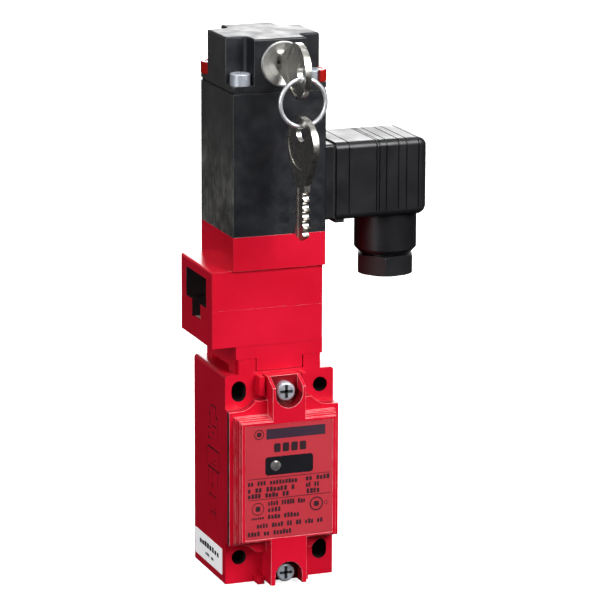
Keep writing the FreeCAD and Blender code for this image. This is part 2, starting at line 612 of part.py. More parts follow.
def head_lower():
    block = box(HEAD_LEFT, HEAD_RIGHT, EAR_Y, HEAD_BACK, OVERHANG, SPLIT)
    block = rounded(block, HEAD_EDGE, lambda e, m: runs_along(e, Z))
    neck = box(NECK_LEFT, HEAD_RIGHT - 0.1, EAR_Y + 0.2, HEAD_BACK - 0.2, BODY_TOP, OVERHANG + 1)
    for front in (EAR_Y - 1, HEAD_BACK - POST_T - 0.2):
        for side in (-1, 1):
            x0, x1 = sorted((side * SKIRT_HALF, side * 20))
            neck = neck.cut(box(x0, x1, front, front + POST_T + 1.2, BODY_TOP - 1, POST_TOP + 0.1))
    neck = neck.cut(box(-20, 20, EAR_Y - 1, EAR_Y + POST_T + 0.2, BODY_TOP - 1, LEDGE + 0.2))
    mid = (EAR_Y + HEAD_BACK) / 2
    for x in (NECK_LEFT, HEAD_RIGHT):
        neck = neck.cut(box(x - NECK_SLOT_D, x + NECK_SLOT_D, mid - NECK_SLOT_W / 2,
                            mid + NECK_SLOT_W / 2, BODY_TOP - 1, BODY_TOP + NECK_SLOT_H))
    shape = joined([block, neck]).cut(drum_room())
    shape = shape.cut(box(HEAD_LEFT - 1, AXIS_X, mid - RIB_W / 2, mid + RIB_W / 2, SPLIT - RIB_H, SPLIT + 1))
    bed_half = RIB_W / 2 + WEAR_LAP
    shape = shape.cut(box(HEAD_LEFT + WEAR_IN, HEAD_LEFT + WEAR_IN + WEAR_L, mid - bed_half, mid + bed_half,
                          SPLIT - RIB_H - WEAR_T, SPLIT - RIB_H + 0.01))
    shape = shape.cut(rod(PLUNGER_HEAD_R + SLACK, (AXIS_X, MID_Y, BODY_TOP - 1), Z, SPLIT - BODY_TOP))
    for x, y in head_screw_centres():
        shape = shape.cut(rod(M3_R + HOLE_PLAY, (x, y, BODY_TOP - 1), Z, SPLIT - BODY_TOP + 2))
    return shape


def wear_plate():
    mid = (EAR_Y + HEAD_BACK) / 2
    z = SPLIT - RIB_H
    x0 = HEAD_LEFT + WEAR_IN
    half = RIB_W / 2 + WEAR_LAP - RUN
    return box(x0 + RUN, x0 + WEAR_L - RUN, mid - half, mid + half, z - WEAR_T, z)


def head_upper():
    block = box(HEAD_LEFT, HEAD_RIGHT, EAR_Y, HEAD_BACK, SPLIT, HEAD_TOP)
    block = rounded(block, HEAD_EDGE, lambda e, m: runs_along(e, Z)
                    or (m.z > HEAD_TOP - 0.01 and m.x < NECK_LEFT - 2))
    mid = (EAR_Y + HEAD_BACK) / 2
    shape = block.cut(drum_room())
    shape = shape.cut(box(HEAD_LEFT - 1, AXIS_X, mid - TONGUE_W / 2, mid + TONGUE_W / 2,
                          SPLIT - 1, SPLIT + TONGUE_H))
    shape = shape.cut(rod(PIN_R + SLACK, (AXIS_X, MID_Y, SPLIT), Z, UPPER_H + 1))
    for x, y in head_screw_centres():
        shape = shape.cut(rod(M3_R + HOLE_PLAY, (x, y, SPLIT - 1), Z, UPPER_H + 2))
    return shape


def drum_axle():
    return rod(AXLE_R, (AXIS_X, EAR_Y + 2.5, SPLIT), Y, HEAD_BACK - EAR_Y - 5.0)


def drum_profile(radius, height, y0, width):
    """Disc that is round above and has an involute plunger cam of the given height below."""
    rate = -PLUNGER_STROKE / TURN
    over_turn = math.radians(6)

    def toward(a):
        return (math.sin(a), -math.cos(a)), (math.cos(a), math.sin(a))

    curve, points = involute_cam(height, rate, 0.0, TURN + over_turn, toward, y0, (AXIS_X, SPLIT))
    first, last = points[0], points[-1]
    centre = V(AXIS_X, y0, SPLIT)
    left, top = centre + V(-radius, 0, 0), centre + V(0, 0, radius)
    begin = math.acos((height - PLUNGER_STROKE - 0.3) / radius) - TURN
    right = centre + V(radius * math.cos(begin), 0, radius * math.sin(begin))
    edges = [curve.toShape(), Part.makeLine(last, right), Part.Arc(right, top, left).toShape(),
             Part.makeLine(left, first)]
    return Part.Face(Part.Wire(Part.__sortEdges__(edges))).extrude(Y * width)


def cam_drum():
    """Two outer lobes that the tongue turns, and the middle disc with the cam and the lock notch."""
    half = DRUM_W / 2
    y0 = MID_Y - half
    lobes = drum_profile(LOBE_R, CAM_REACH - LOBE_BACKSET, y0, DRUM_W)
    lobes = lobes.cut(box(AXIS_X - 15, AXIS_X - 1.2, y0 - 1, y0 + DRUM_W + 1, SPLIT + 0.6, SPLIT + 15))
    hub = rod(AXLE_R + 1.6, (AXIS_X, y0, SPLIT), Y, DRUM_W)
    disc = drum_profile(DISC_R, CAM_REACH, MID_Y - DISC_W / 2, DISC_W)
    shape = joined([lobes, disc, hub])
    notch = box(AXIS_X - NOTCH_W / 2, AXIS_X + NOTCH_W / 2, y0 - 1, y0 + DRUM_W + 1,
                SPLIT + DISC_R - NOTCH_D, SPLIT + DISC_R + 2)
    notch.rotate(V(AXIS_X, 0, SPLIT), Y, -DRUM_TURN)
    return shape.cut(notch).cut(rod(AXLE_R + RUN, (AXIS_X, y0 - 1, SPLIT), Y, DRUM_W + 2))


def head_screws():
    length = COLLAR_TOP - M3_HEAD_H - (BODY_TOP - HEAD_SCREW_BITE) - 0.5
    seat = COLLAR_TOP - M3_HEAD_H - 0.3
    return Part.makeCompound([socket_screw((x, y, seat), -Z, length, M3_R, M3_HEAD_R, M3_HEAD_H, 2.5)
                              for x, y in head_screw_centres()])


# ================================================================ collar and solenoid
def tower_block(inset, z0, z1):
    return box(TOWER_LEFT + inset, TOWER_RIGHT - inset, TOWER_FRONT + inset, TOWER_BACK - inset, z0, z1)


def cap_screw_centres():
    xs = (TOWER_LEFT + CAP_SCREW_INSET, TOWER_RIGHT - CAP_SCREW_INSET)
    ys = (TOWER_FRONT + CAP_SCREW_INSET, TOWER_BACK - CAP_SCREW_INSET)
    return [(x, y) for x in xs for y in ys]


def collar():
    shape = rounded(tower_block(0, HEAD_TOP, COLLAR_TOP), 0.8, upright_edges)
    shape = shape.cut(rod(BUSH_R, (AXIS_X, MID_Y, COLLAR_TOP - BUSH_H), Z, BUSH_H + 1))
    shape = shape.cut(rod(PIN_R + SLACK, (AXIS_X, MID_Y, HEAD_TOP - 1), Z, COLLAR_H + 2))
    for x, y in head_screw_centres():
        shape = shape.cut(rod(M3_R + HOLE_PLAY, (x, y, HEAD_TOP - 1), Z, COLLAR_H + 2))
        shape = shape.cut(rod(M3_HEAD_R + SLACK, (x, y, COLLAR_TOP - M3_HEAD_H - 0.3), Z, M3_HEAD_H + 2))
    for x, y in cap_screw_centres():
        shape = shape.cut(rod(M4_R, (x, y, COLLAR_TOP - CAP_SCREW_BITE), Z, CAP_SCREW_BITE + 1))
    return shape


def guide_bush():
    return tube(BUSH_R, PIN_R + RUN, (AXIS_X, MID_Y, COLLAR_TOP - BUSH_H), Z, BUSH_H)


def coil_housing():
    shape = rounded(tower_block(0, COLLAR_TOP, COIL_TOP), 0.8, upright_edges)
    floor = COLLAR_TOP + CAN_FOOT
    shape = shape.cut(rod(CAN_R + SLACK, (AXIS_X, MID_Y, floor), Z, COIL_TOP - floor + 1))
    shape = shape.cut(rod(PIN_R + SLACK, (AXIS_X, MID_Y, COLLAR_TOP - 1), Z, CAN_FOOT + 2))
    for x, y in cap_screw_centres():
        shape = shape.cut(rod(M4_R + HOLE_PLAY, (x, y, COLLAR_TOP - 1), Z, COIL_H + 2))
    mid_z = plug_mid_z()
    shape = shape.cut(rod(3.6, (TOWER_RIGHT - 6, TOWER_MID, mid_z), X, 7))
    return shape


def coil_can():
    floor = COLLAR_TOP + CAN_FOOT
    shape = tube(CAN_R, CAN_R - CAN_T, (AXIS_X, MID_Y, floor), Z, CAN_H)
    bottom = tube(CAN_R - 0.1, PIN_R + SLACK, (AXIS_X, MID_Y, floor), Z, CAN_END)
    top = tube(CAN_R - 0.1, BOBBIN_BORE_R, (AXIS_X, MID_Y, floor + CAN_H - CAN_END), Z, CAN_END)
    return joined([shape, bottom, top])


def bobbin_base():
    return COLLAR_TOP + CAN_FOOT + CAN_END + 0.1


def coil_bobbin():
    z = bobbin_base()
    core = rod(BOBBIN_CORE_R, (AXIS_X, MID_Y, z), Z, BOBBIN_H)
    rims = [rod(BOBBIN_FLANGE_R, (AXIS_X, MID_Y, level), Z, BOBBIN_FLANGE_T)
            for level in (z, z + BOBBIN_H - BOBBIN_FLANGE_T)]
    return joined([core] + rims).cut(rod(BOBBIN_BORE_R, (AXIS_X, MID_Y, z - 1), Z, BOBBIN_H + 2))


def coil_winding():
    z = bobbin_base() + BOBBIN_FLANGE_T + 0.1
    length = BOBBIN_H - 2 * BOBBIN_FLANGE_T - 0.2
    return tube(BOBBIN_FLANGE_R - 0.6, BOBBIN_CORE_R + 0.05, (AXIS_X, MID_Y, z), Z, length)


def armature_base():
    return bobbin_base() + 2.0


def armature():
    return rod(ARMATURE_R, (AXIS_X, MID_Y, armature_base()), Z, ARMATURE_H)


def pole_piece():
    top = bobbin_base() + BOBBIN_H
    shape = rod(BOBBIN_BORE_R - 0.05, (AXIS_X, MID_Y, top - POLE_H), Z, POLE_H + CAN_END - 0.1)
    return shape.cut(rod(ROD_R + SLACK, (AXIS_X, MID_Y, top - POLE_H - 1), Z, POLE_H + 4))


def lock_pin():
    shape = rod(PIN_R, (AXIS_X, MID_Y, PIN_TIP), Z, armature_base() - PIN_TIP)
    tip = [e for e in shape.Edges if e.Closed and abs(e.CenterOfMass.z - PIN_TIP) < 0.01]
    return shape.makeChamfer(0.5, tip)


def armature_spring():
    low = armature_base() + ARMATURE_H + 0.1
    high = bobbin_base() + BOBBIN_H - POLE_H - 0.1
    return spring(3.2, COIL_SPRING_WIRE, 5, (AXIS_X, MID_Y), low, high)


def release_bracket():
    """Rod up through the pole piece, with a shelf that the lock cam lifts."""
    base = armature_base() + ARMATURE_H
    level = COLLAR_TOP + CAN_FOOT + CAN_H + 1.2
    stem = rod(ROD_R, (AXIS_X, MID_Y, base), Z, level - base + 0.6)
    y_cam = lock_cam_y()
    back = y_cam + LOCK_CAM_W + 0.5
    shelf = LOCK_Z + LOCK_CAM_LOW + FACE
    strap = box(AXIS_X - 3, AXIS_X + 3, MID_Y - 3, back + 1.2, level, level + 1.2)
    upstand = box(AXIS_X - 3, AXIS_X + 3, back, back + 1.2, level, shelf + SHELF_T)
    ledge = box(LOCK_X - 4.5, LOCK_X + 3, y_cam + 0.1, back + 1.2, shelf, shelf + SHELF_T)
    return joined([stem, strap, upstand, ledge])


# ================================================================ cap
def plus_block(size, arm, z0, z1, round_r):
    """Square block with its four corners cut away, leaving arms of the given width."""
    half, a = size / 2, arm / 2
    cx, cy = AXIS_X, TOWER_MID
    shape = joined([box(cx - half, cx + half, cy - a, cy + a, z0, z1),
                    box(cx - a, cx + a, cy - half, cy + half, z0, z1)])
    return rounded(shape, round_r, lambda e, m: runs_along(e, Z) and abs(abs(m.x - cx) - a) < 0.01
                   and abs(abs(m.y - cy) - a) < 0.01)


def cap_gasket():
    shape = tower_block(CAP_GASKET_IN, COIL_TOP, FLANGE_LOW)
    shape = shape.cut(rod(CAN_R + 0.5, (AXIS_X, MID_Y, COIL_TOP - 1), Z, 4))
    for x, y in cap_screw_centres():
        shape = shape.cut(rod(M4_R + HOLE_PLAY, (x, y, COIL_TOP - 1), Z, 4))
    return shape


def cap():
    flange = rounded(tower_block(0, FLANGE_LOW, FLANGE_TOP), 0.8, upright_edges)
    crown = plus_block(TOWER_W, ARM_W, FLANGE_TOP - 1, TOP, ARM_ROUND)
    crown = rounded(crown, 0.7, lambda e, m: m.z > TOP - 0.01)
    room = plus_block(TOWER_W - 2 * CAP_WALL, ARM_W - 2 * CAP_WALL, FLANGE_LOW - 1, TOP - CAP_WALL,
                      ARM_ROUND)
    shape = joined([flange, crown]).cut(room)
    shape = shape.cut(rod(LOCK_BODY_R + 0.1, (LOCK_X, TOWER_FRONT - 2, LOCK_Z), Y, 8))
    seat = 2 + LOCK_RIM_T - LOCK_PROUD
    shape = shape.cut(rod(LOCK_FACE_R + 0.1, (LOCK_X, TOWER_FRONT - 2, LOCK_Z), Y, seat))
    for x, y in cap_screw_centres():
        shape = shape.cut(rod(M4_R + HOLE_PLAY, (x, y, FLANGE_LOW - 1), Z, 4))
    return shape


def cap_screws():
    length = FLANGE_TOP - COLLAR_TOP + CAP_SCREW_BITE - 0.5
    sizes = (M4_R, CAP_HEAD_R, CAP_HEAD_H, CAP_HEX)
    return Part.makeCompound([socket_screw((x, y, FLANGE_TOP), -Z, length, *sizes)
                              for x, y in cap_screw_centres()])


def tamper_seals():
    """Hardened lacquer round the outer side of the heads at two opposite corners."""
    seals = []
    centres = cap_screw_centres()
    for (x, y), middle in ((centres[1], 165.0), (centres[2], -15.0)):
        ring = tube(CAP_HEAD_R + LACQUER_WALL, CAP_HEAD_R + 0.02, (x, y, FLANGE_TOP), Z,
                    CAP_HEAD_H + 0.2)
        start = math.radians(middle - LACQUER_ARC / 2)
        reach = 20.0
        fan = [V(x, y, FLANGE_TOP - 1)]
        for k in range(9):
            a = start + math.radians(LACQUER_ARC) * k / 8
            fan.append(V(x + reach * math.cos(a), y + reach * math.sin(a), FLANGE_TOP - 1))
        wedge = Part.Face(Part.makePolygon(fan + fan[:1])).extrude(Z * 8)
        seals.append(ring.common(wedge))
    return Part.makeCompound(seals)


# ================================================================ lock and keys
def lock_cam_y():
    return LOCK_FACE_Y + LOCK_L + 0.4


def dish():
    """Conical hollow in the face of the lock, with a well in its middle."""
    cone = Part.makeCone(DISH_R, WELL_R, DISH_DEPTH, V(LOCK_X, LOCK_FACE_Y, LOCK_Z), Y)
    mouth = rod(DISH_R, (LOCK_X, LOCK_FACE_Y - 2, LOCK_Z), Y, 2.001)
    well = rod(WELL_R, (LOCK_X, LOCK_FACE_Y - 2, LOCK_Z), Y, 2 + DISH_DEPTH + WELL_DEPTH)
    return cone.fuse(mouth).fuse(well)


def lock_barrel():
    rim = rod(LOCK_FACE_R, (LOCK_X, LOCK_FACE_Y, LOCK_Z), Y, LOCK_RIM_T)
    rim = rounded(rim, 0.35, lambda e, m: e.Closed and abs(m.y - LOCK_FACE_Y) < 0.01)
    body = rod(LOCK_BODY_R, (LOCK_X, LOCK_FACE_Y, LOCK_Z), Y, LOCK_L)
    shape = rim.fuse(body).removeSplitter()
    shape = shape.cut(rod(PLUG_R + RUN, (LOCK_X, LOCK_FACE_Y - 1, LOCK_Z), Y, LOCK_L + 2))
    return shape.cut(dish())


def lock_plug():
    shape = rod(PLUG_R, (LOCK_X, LOCK_FACE_Y, LOCK_Z), Y, lock_cam_y() - LOCK_FACE_Y)
    shape = shape.cut(dish())
    wide, high = KEY_T / 2 + KEY_PLAY, KEY_BLADE_W / 2 + KEY_PLAY
    keyway = box(LOCK_X - wide, LOCK_X + wide, LOCK_FACE_Y - 1, LOCK_FACE_Y + LOCK_L - 1.2,
                 LOCK_Z - high, LOCK_Z + high)
    return shape.cut(keyway)


def lock_nut():
    y = TOWER_FRONT + CAP_WALL + 0.1
    shape = plate(hexagon(LOCK_NUT_R, LOCK_X, LOCK_Z), Y, y, LOCK_NUT_T)
    half = ARM_W / 2 - CAP_WALL - 0.1
    room = box(AXIS_X - half, AXIS_X + half, y, y + LOCK_NUT_T, LOCK_Z - 9, TOP - CAP_WALL - 0.1)
    return shape.common(room).cut(rod(LOCK_BODY_R, (LOCK_X, y - 1, LOCK_Z), Y, LOCK_NUT_T + 2))


def hexagon(reach, cx, cz):
    turns = [math.pi / 6 + k * math.pi / 3 for k in range(6)]
    return [(cx + reach * math.cos(a), cz + reach * math.sin(a)) for a in turns]


def lock_cam():
    """Cam on the back of the plug: it lifts the shelf evenly over a quarter turn."""
    rate = LIFT / (math.pi / 2)
    y0 = lock_cam_y()

    def toward(a):
        return (-math.sin(a), math.cos(a)), (-math.cos(a), -math.sin(a))

    curve, points = involute_cam(LOCK_CAM_LOW, rate, 0.0, math.pi / 2, toward, y0, (LOCK_X, LOCK_Z))
    centre = V(LOCK_X, y0, LOCK_Z)
    first, last = points[0], points[-1]
    low = centre + V(0, 0, -LOCK_CAM_LOW)
    right = centre + V(LOCK_CAM_LOW * 0.9, 0, 0)
    edges = [curve.toShape(), Part.makeLine(last, low), Part.makeLine(low, right),
             Part.makeLine(right, centre + V(0.9, 0, LOCK_CAM_LOW)),
             Part.makeLine(centre + V(0.9, 0, LOCK_CAM_LOW), first)]
    return Part.Face(Part.Wire(Part.__sortEdges__(edges))).extrude(Y * LOCK_CAM_W)


def key_shape():
    """Key lying along +Y, bow towards -Y, shoulder at y = 0, in the plane x = 0."""
    centre = -(BOW_L - BOW_R)
    half = SHOULDER_W / 2
    lean = math.asin((BOW_R - half) / (BOW_L - BOW_R)) * 0.9
    low = V(0, centre + BOW_R * math.sin(lean), -BOW_R * math.cos(lean))
    high = V(0, low.y, -low.z)
    edges = [Part.Arc(low, V(0, -BOW_L, 0), high).toShape(), Part.makeLine(high, V(0, 0, half)),
             Part.makeLine(V(0, 0, half), V(0, 0, -half)), Part.makeLine(V(0, 0, -half), low)]
    bow = Part.Face(Part.Wire(edges)).extrude(X * KEY_T)
    blade_half = KEY_BLADE_W / 2
    blade = plate([(-1, -blade_half), (-1, blade_half), (KEY_BLADE_L - 2.2, blade_half),
                   (KEY_BLADE_L, 0.3), (KEY_BLADE_L, -0.9), (KEY_BLADE_L - 1.4, -blade_half)], X, 0, KEY_T)
    shape = joined([bow, blade]).cut(rod(KEY_HOLE_R, (-1, -(BOW_L - KEY_HOLE_END), 0), X, KEY_T + 2))
    for x in (-1, KEY_T - BOW_SUNK):
        shape = shape.cut(rod(BOW_R - BOW_RIM, (x, centre, 0), X, 1 + BOW_SUNK))
    for x, z in ((FLUTE_DEEP - 2, -0.3), (KEY_T - FLUTE_DEEP, -1.9)):
        shape = shape.cut(box(x, x + 2, 1.5, KEY_BLADE_L + 1, z, z + FLUTE_W))
    pitch = (KEY_BLADE_L - 4.0) / KEY_CUTS
    for k in range(KEY_CUTS):
        y = 2.4 + pitch * (k + 0.5)
        shape = shape.cut(rod(KEY_CUT_R, (-1, y, blade_half + KEY_CUT_R - KEY_CUT_DEEP), X, KEY_T + 2))
    shape.translate(V(-KEY_T / 2, 0, 0))
    return shape


def key():
    shape = key_shape()
    shape.translate(V(LOCK_X, KEY_ROOT_Y, LOCK_Z))
    return shape


def key_ring():
    ring = Part.makeTorus(RING_R, RING_WIRE_R, V(0, 0, 0), Y)
    ring.translate(V(LOCK_X, KEY_HOLE_Y, RING_TOP - RING_R))
    return ring


def spare_key():
    shape = key_shape()
    shape.translate(V(0, BOW_L - KEY_HOLE_END, 0))
    shape.rotate(V(0, 0, 0), X, -90)
    shape.rotate(V(0, 0, 0), Z, 180 + SPARE_TWIST)
    shape.translate(V(LOCK_X, KEY_HOLE_Y, SPARE_HOLE))
    return shape


# ================================================================ connector
def plug_low():
    return COLLAR_TOP + PLUG_RISE


def plug_mid_z():
    return plug_low() + PLUG_S / 2


def plug_x():
    """Left faces of the base, of the flat seal and of the plug."""
    return TOWER_RIGHT, TOWER_RIGHT + BASE_T, TOWER_RIGHT + BASE_T + SEAL_T


def square(x0, x1, inset):
    half = PLUG_S / 2 - inset
    return box(x0, x1, TOWER_MID - half, TOWER_MID + half, plug_mid_z() - half, plug_mid_z() + half)


def gland_x():
    return plug_x()[2] + PLUG_L - NECK_R + 0.3


def connector_base():
    x0, x1, _ = plug_x()
    shape = rounded(square(x0, x1, 0.4), 1.0, lambda e, m: runs_along(e, X))
    shape = shape.cut(rod(M3_R, (x0 - 1, TOWER_MID, plug_mid_z()), X, BASE_T + 2))
    for slot in blade_slots(HOLE_PLAY, x0 - 1, x1 + 1):
        shape = shape.cut(slot)
    return shape


def blade_slots(grow, x0, x1):
    half_t, half_w = BLADE_T / 2 + grow, BLADE_W / 2 + grow
    y, z, reach = TOWER_MID, plug_mid_z(), BLADE_PITCH / 2
    return [box(x0, x1, y - reach - half_t, y - reach + half_t, z - half_w, z + half_w),
            box(x0, x1, y + reach - half_t, y + reach + half_t, z - half_w, z + half_w),
            box(x0, x1, y - half_w, y + half_w, z - reach - half_t, z - reach + half_t)]


def connector_pins():
    x0, x1, _ = plug_x()
    return Part.makeCompound(blade_slots(0.0, x0 + 0.2, x1 + BLADE_L))


def connector_gasket():
    _, x1, x2 = plug_x()
    shape = square(x1, x2, 0.7).cut(square(x1 - 1, x2 + 1, 2.6))
    return shape


def connector_housing():
    x = plug_x()[2]
    end = x + PLUG_L
    shape = square(x, end, 0)
    shape = rounded(shape, PLUG_END, lambda e, m: abs(m.x - end) < 0.01)
    shape = rounded(shape, PLUG_EDGE, lambda e, m: runs_along(e, X) and abs(m.x - end) > 1)
    half = PLUG_S / 2
    lip = box(x, x + 3.4, TOWER_MID - half + 1.5, TOWER_MID + half - 1.5, plug_low() - 1.0, plug_low() + 3)
    gx = gland_x()
    neck_low = plug_low() - NECK_L + 1.6
    neck = rod(NECK_R, (gx, TOWER_MID, neck_low), Z, NECK_L + 4)
    foot = [e for e in neck.Edges if e.Closed and e.CenterOfMass.z < neck_low + 0.01]
    neck = neck.makeChamfer(NECK_CHAMFER, foot)
    neck = neck.common(box(gx - 20, end, TOWER_MID - 20, TOWER_MID + 20, neck_low - 1, plug_mid_z()))
    core = rounded(square(x, end, GROOVE_D), PLUG_EDGE - GROOVE_D, lambda e, m: runs_along(e, X))
    for place in GROOVES:
        band = box(x + place, x + place + GROOVE_W, TOWER_MID - half - 1, TOWER_MID + half + 1,
                   plug_low() + PLUG_EDGE, plug_low() + PLUG_S + 1)
        shape = shape.cut(band.cut(core))
    shape = joined([shape, lip, neck])
    shape = shape.cut(square(x - 1, end - PLUG_WALL, PLUG_WALL))
    shape = shape.cut(rod(NECK_BORE_R, (gx, TOWER_MID, neck_low - 1), Z, NECK_L + 6))
    return shape.cut(rod(M3_R + HOLE_PLAY, (end - 4, TOWER_MID, plug_mid_z()), X, 6))


def terminal_insert():
    x = plug_x()[2]
    shape = square(x + 0.2, x + INSERT_L, PLUG_WALL + 0.2)
    for slot in blade_slots(HOLE_PLAY, x - 1, plug_x()[1] + BLADE_L + 0.3):
        shape = shape.cut(slot)
    return shape.cut(rod(M3_R + HOLE_PLAY, (x - 1, TOWER_MID, plug_mid_z()), X, INSERT_L + 3))


def connector_screw():
    end = plug_x()[2] + PLUG_L
    return pan_screw((end, TOWER_MID, plug_mid_z()), -X, PLUG_L + SEAL_T + BASE_T - 0.5, M3_R, 3.0, 1.8)


def gland_low():
    return plug_low() - NECK_L + 1.6


def gland_nut():
    gx, top = gland_x(), gland_low() - NUT_GAP
    turns = [math.radians(NUT_TURN + 60 * k) for k in range(6)]
    sides = [V(gx + NUT_R * math.cos(a), TOWER_MID + NUT_R * math.sin(a), top - NUT_L) for a in turns]
    nut = Part.Face(Part.makePolygon(sides + sides[:1])).extrude(Z * NUT_L)
    rim = NUT_R - NUT_BEVEL
    nut = nut.common(Part.makeCone(rim, rim + 1.7 * NUT_L, NUT_L, V(gx, TOWER_MID, top - NUT_L), Z))
    nut = nut.common(Part.makeCone(rim + 0.4, rim + 0.4 + 1.7 * NUT_L, NUT_L, V(gx, TOWER_MID, top), -Z))
    thread = rod(NECK_BORE_R - 0.1, (gx, TOWER_MID, top - 0.5), Z, NUT_GAP + NUT_BITE + 0.5)
    shape = nut.fuse(thread).removeSplitter()
    return shape.cut(rod(CABLE_R + 0.6, (gx, TOWER_MID, top - NUT_L - 1), Z, 20))


def gland_washer():
    level = gland_low() + NUT_BITE + 0.05
    return tube(NECK_BORE_R - 0.2, CABLE_R + 0.6, (gland_x(), TOWER_MID, level), Z, GLAND_WASHER_T)


def gland_seal():
    level = gland_low() + NUT_BITE + GLAND_WASHER_T + 0.1
    return tube(NECK_BORE_R - 0.2, CABLE_R, (gland_x(), TOWER_MID, level), Z, GLAND_SEAL_L)


NODES = (
    housing, cover_gasket, cover, label_plate, led_lens, led_board, cover_screws, contact_block,
    fixed_contacts, terminal_screws, contact_bridges, plunger, plunger_spring, block_screws,
    earth_screw, head_lower, wear_plate, head_upper, drum_axle, cam_drum, head_screws, collar,
    guide_bush, coil_housing, coil_can, coil_bobbin, coil_winding, armature, pole_piece, lock_pin,
    armature_spring, release_bracket, cap_gasket, cap, cap_screws, tamper_seals, lock_barrel,
    lock_plug, lock_nut, lock_cam, key, key_ring, spare_key, connector_base, connector_pins,
    connector_gasket, connector_housing, terminal_insert, connector_screw, gland_nut,
    gland_washer, gland_seal)

os.makedirs("parts", exist_ok=True)
for make in NODES:
    shape = make()
    shape.exportStep("parts/" + make.__name__ + ".step")
    bounds = shape.BoundBox
    print(f"{make.__name__:18s} solids {len(shape.Solids)} valid {shape.isValid()} volume {shape.Volume:9.1f}"
          f" x {bounds.XMin:7.2f} {bounds.XMax:7.2f} y {bounds.YMin:7.2f} {bounds.YMax:7.2f}"
          f" z {bounds.ZMin:7.2f} {bounds.ZMax:7.2f}")
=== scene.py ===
# %% [markdown]
# # A key-released interlock switch, dressed for its picture
# The switch stands on its base: a red die-cast contact housing, a slotted head that takes a
# coded tongue, and a black solenoid tower with a lock, its keys and a square plug at the side.
# The solid model is loaded first and is not changed. Everything below gives it paint, plastic,
# metal, small radii and the printed front.

# %% Load the solid model
import json
import math
import random

import bmesh
import bpy
from mathutils import Matrix, Vector

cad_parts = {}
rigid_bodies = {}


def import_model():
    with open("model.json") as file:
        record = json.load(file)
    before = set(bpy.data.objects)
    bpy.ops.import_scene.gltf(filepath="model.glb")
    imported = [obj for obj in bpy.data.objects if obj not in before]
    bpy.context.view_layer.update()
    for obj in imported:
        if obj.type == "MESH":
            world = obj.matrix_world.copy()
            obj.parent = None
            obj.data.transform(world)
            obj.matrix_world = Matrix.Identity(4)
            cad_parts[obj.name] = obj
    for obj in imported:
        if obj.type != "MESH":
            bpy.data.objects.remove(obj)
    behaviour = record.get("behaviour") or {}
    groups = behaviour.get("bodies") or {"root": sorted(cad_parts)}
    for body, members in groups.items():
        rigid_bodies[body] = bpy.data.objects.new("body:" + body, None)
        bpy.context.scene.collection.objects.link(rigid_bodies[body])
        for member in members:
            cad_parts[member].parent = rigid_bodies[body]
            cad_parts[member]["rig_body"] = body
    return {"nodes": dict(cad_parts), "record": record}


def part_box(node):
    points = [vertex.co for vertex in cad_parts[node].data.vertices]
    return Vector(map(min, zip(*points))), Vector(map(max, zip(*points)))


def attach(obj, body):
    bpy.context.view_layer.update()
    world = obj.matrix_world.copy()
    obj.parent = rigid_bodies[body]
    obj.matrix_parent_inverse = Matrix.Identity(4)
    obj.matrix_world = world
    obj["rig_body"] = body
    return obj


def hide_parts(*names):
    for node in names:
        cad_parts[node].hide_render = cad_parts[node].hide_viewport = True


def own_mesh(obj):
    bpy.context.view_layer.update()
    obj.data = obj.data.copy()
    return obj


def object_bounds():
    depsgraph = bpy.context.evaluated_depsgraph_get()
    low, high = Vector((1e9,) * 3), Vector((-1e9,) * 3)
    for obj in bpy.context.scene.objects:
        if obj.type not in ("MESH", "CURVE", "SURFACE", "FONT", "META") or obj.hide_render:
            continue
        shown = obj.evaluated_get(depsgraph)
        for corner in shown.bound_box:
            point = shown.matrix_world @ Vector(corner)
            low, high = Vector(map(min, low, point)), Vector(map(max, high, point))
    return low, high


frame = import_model()
solid_box = [list(corner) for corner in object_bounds()]
MM = 0.001
print("nodes:", len(frame["nodes"]), "box in mm:", [[round(v / MM, 1) for v in c] for c in solid_box])

# %% [markdown]
# ## Camera
# A long lens far away keeps the tall tower upright and nearly free of perspective, as a product
# picture does. The camera stands a little to the left and looks slightly down.

# %% Camera
AIM = Vector((14.45, -19.0, 55.46)) * MM
AZIMUTH, ELEVATION, ROLL = (math.radians(a) for a in (20.67, 13.75, 0.23))
DISTANCE = 1.2                       # from the aim to the lens, in metres
LENS, SENSOR = 202.83, 36.0          # in millimetres
FAR_END = 20.0                       # nothing farther away is drawn, in metres
backwards = Vector((-math.sin(AZIMUTH) * math.cos(ELEVATION), -math.cos(AZIMUTH) * math.cos(ELEVATION),
                    math.sin(ELEVATION)))
level_right = (-backwards).cross(Vector((0, 0, 1))).normalized()
level_up = level_right.cross(-backwards)
picture_right = math.cos(ROLL) * level_right + math.sin(ROLL) * level_up
picture_up = math.cos(ROLL) * level_up - math.sin(ROLL) * level_right
camera_data = bpy.data.cameras.new("camera")
camera_data.sensor_width = SENSOR
camera_data.lens = LENS
camera_data.clip_end = FAR_END
camera = bpy.data.objects.new("camera", camera_data)
turn = Matrix((picture_right, picture_up, backwards)).transposed().to_4x4()
camera.matrix_world = Matrix.Translation(AIM + backwards * DISTANCE) @ turn
bpy.context.scene.collection.objects.link(camera)
bpy.context.scene.camera = camera
print("camera at", [round(v, 3) for v in camera.matrix_world.translation])

# %% [markdown]
# ## Studio
# A large soft light high in front, to the right, models the front. A weaker one on the left
# lights the side wall, one behind the switch keeps the rear readable, and a strip from above
# lays a sheen on the black plastic. The world is pale above the horizon and nearly black below
# it, so that faces which look down stay dark.

# %% Lights and world
def soft_light(name, place, width, height, watts):
    data = bpy.data.lights.new(name, "AREA")
    data.shape = "RECTANGLE"
    data.size = width
    data.size_y = height
    data.energy = watts
    light = bpy.data.objects.new(name, data)
    light.matrix_world = (Matrix.Translation(Vector(place))
                          @ (AIM - Vector(place)).to_track_quat("-Z", "Y").to_matrix().to_4x4())
    bpy.context.scene.collection.objects.link(light)


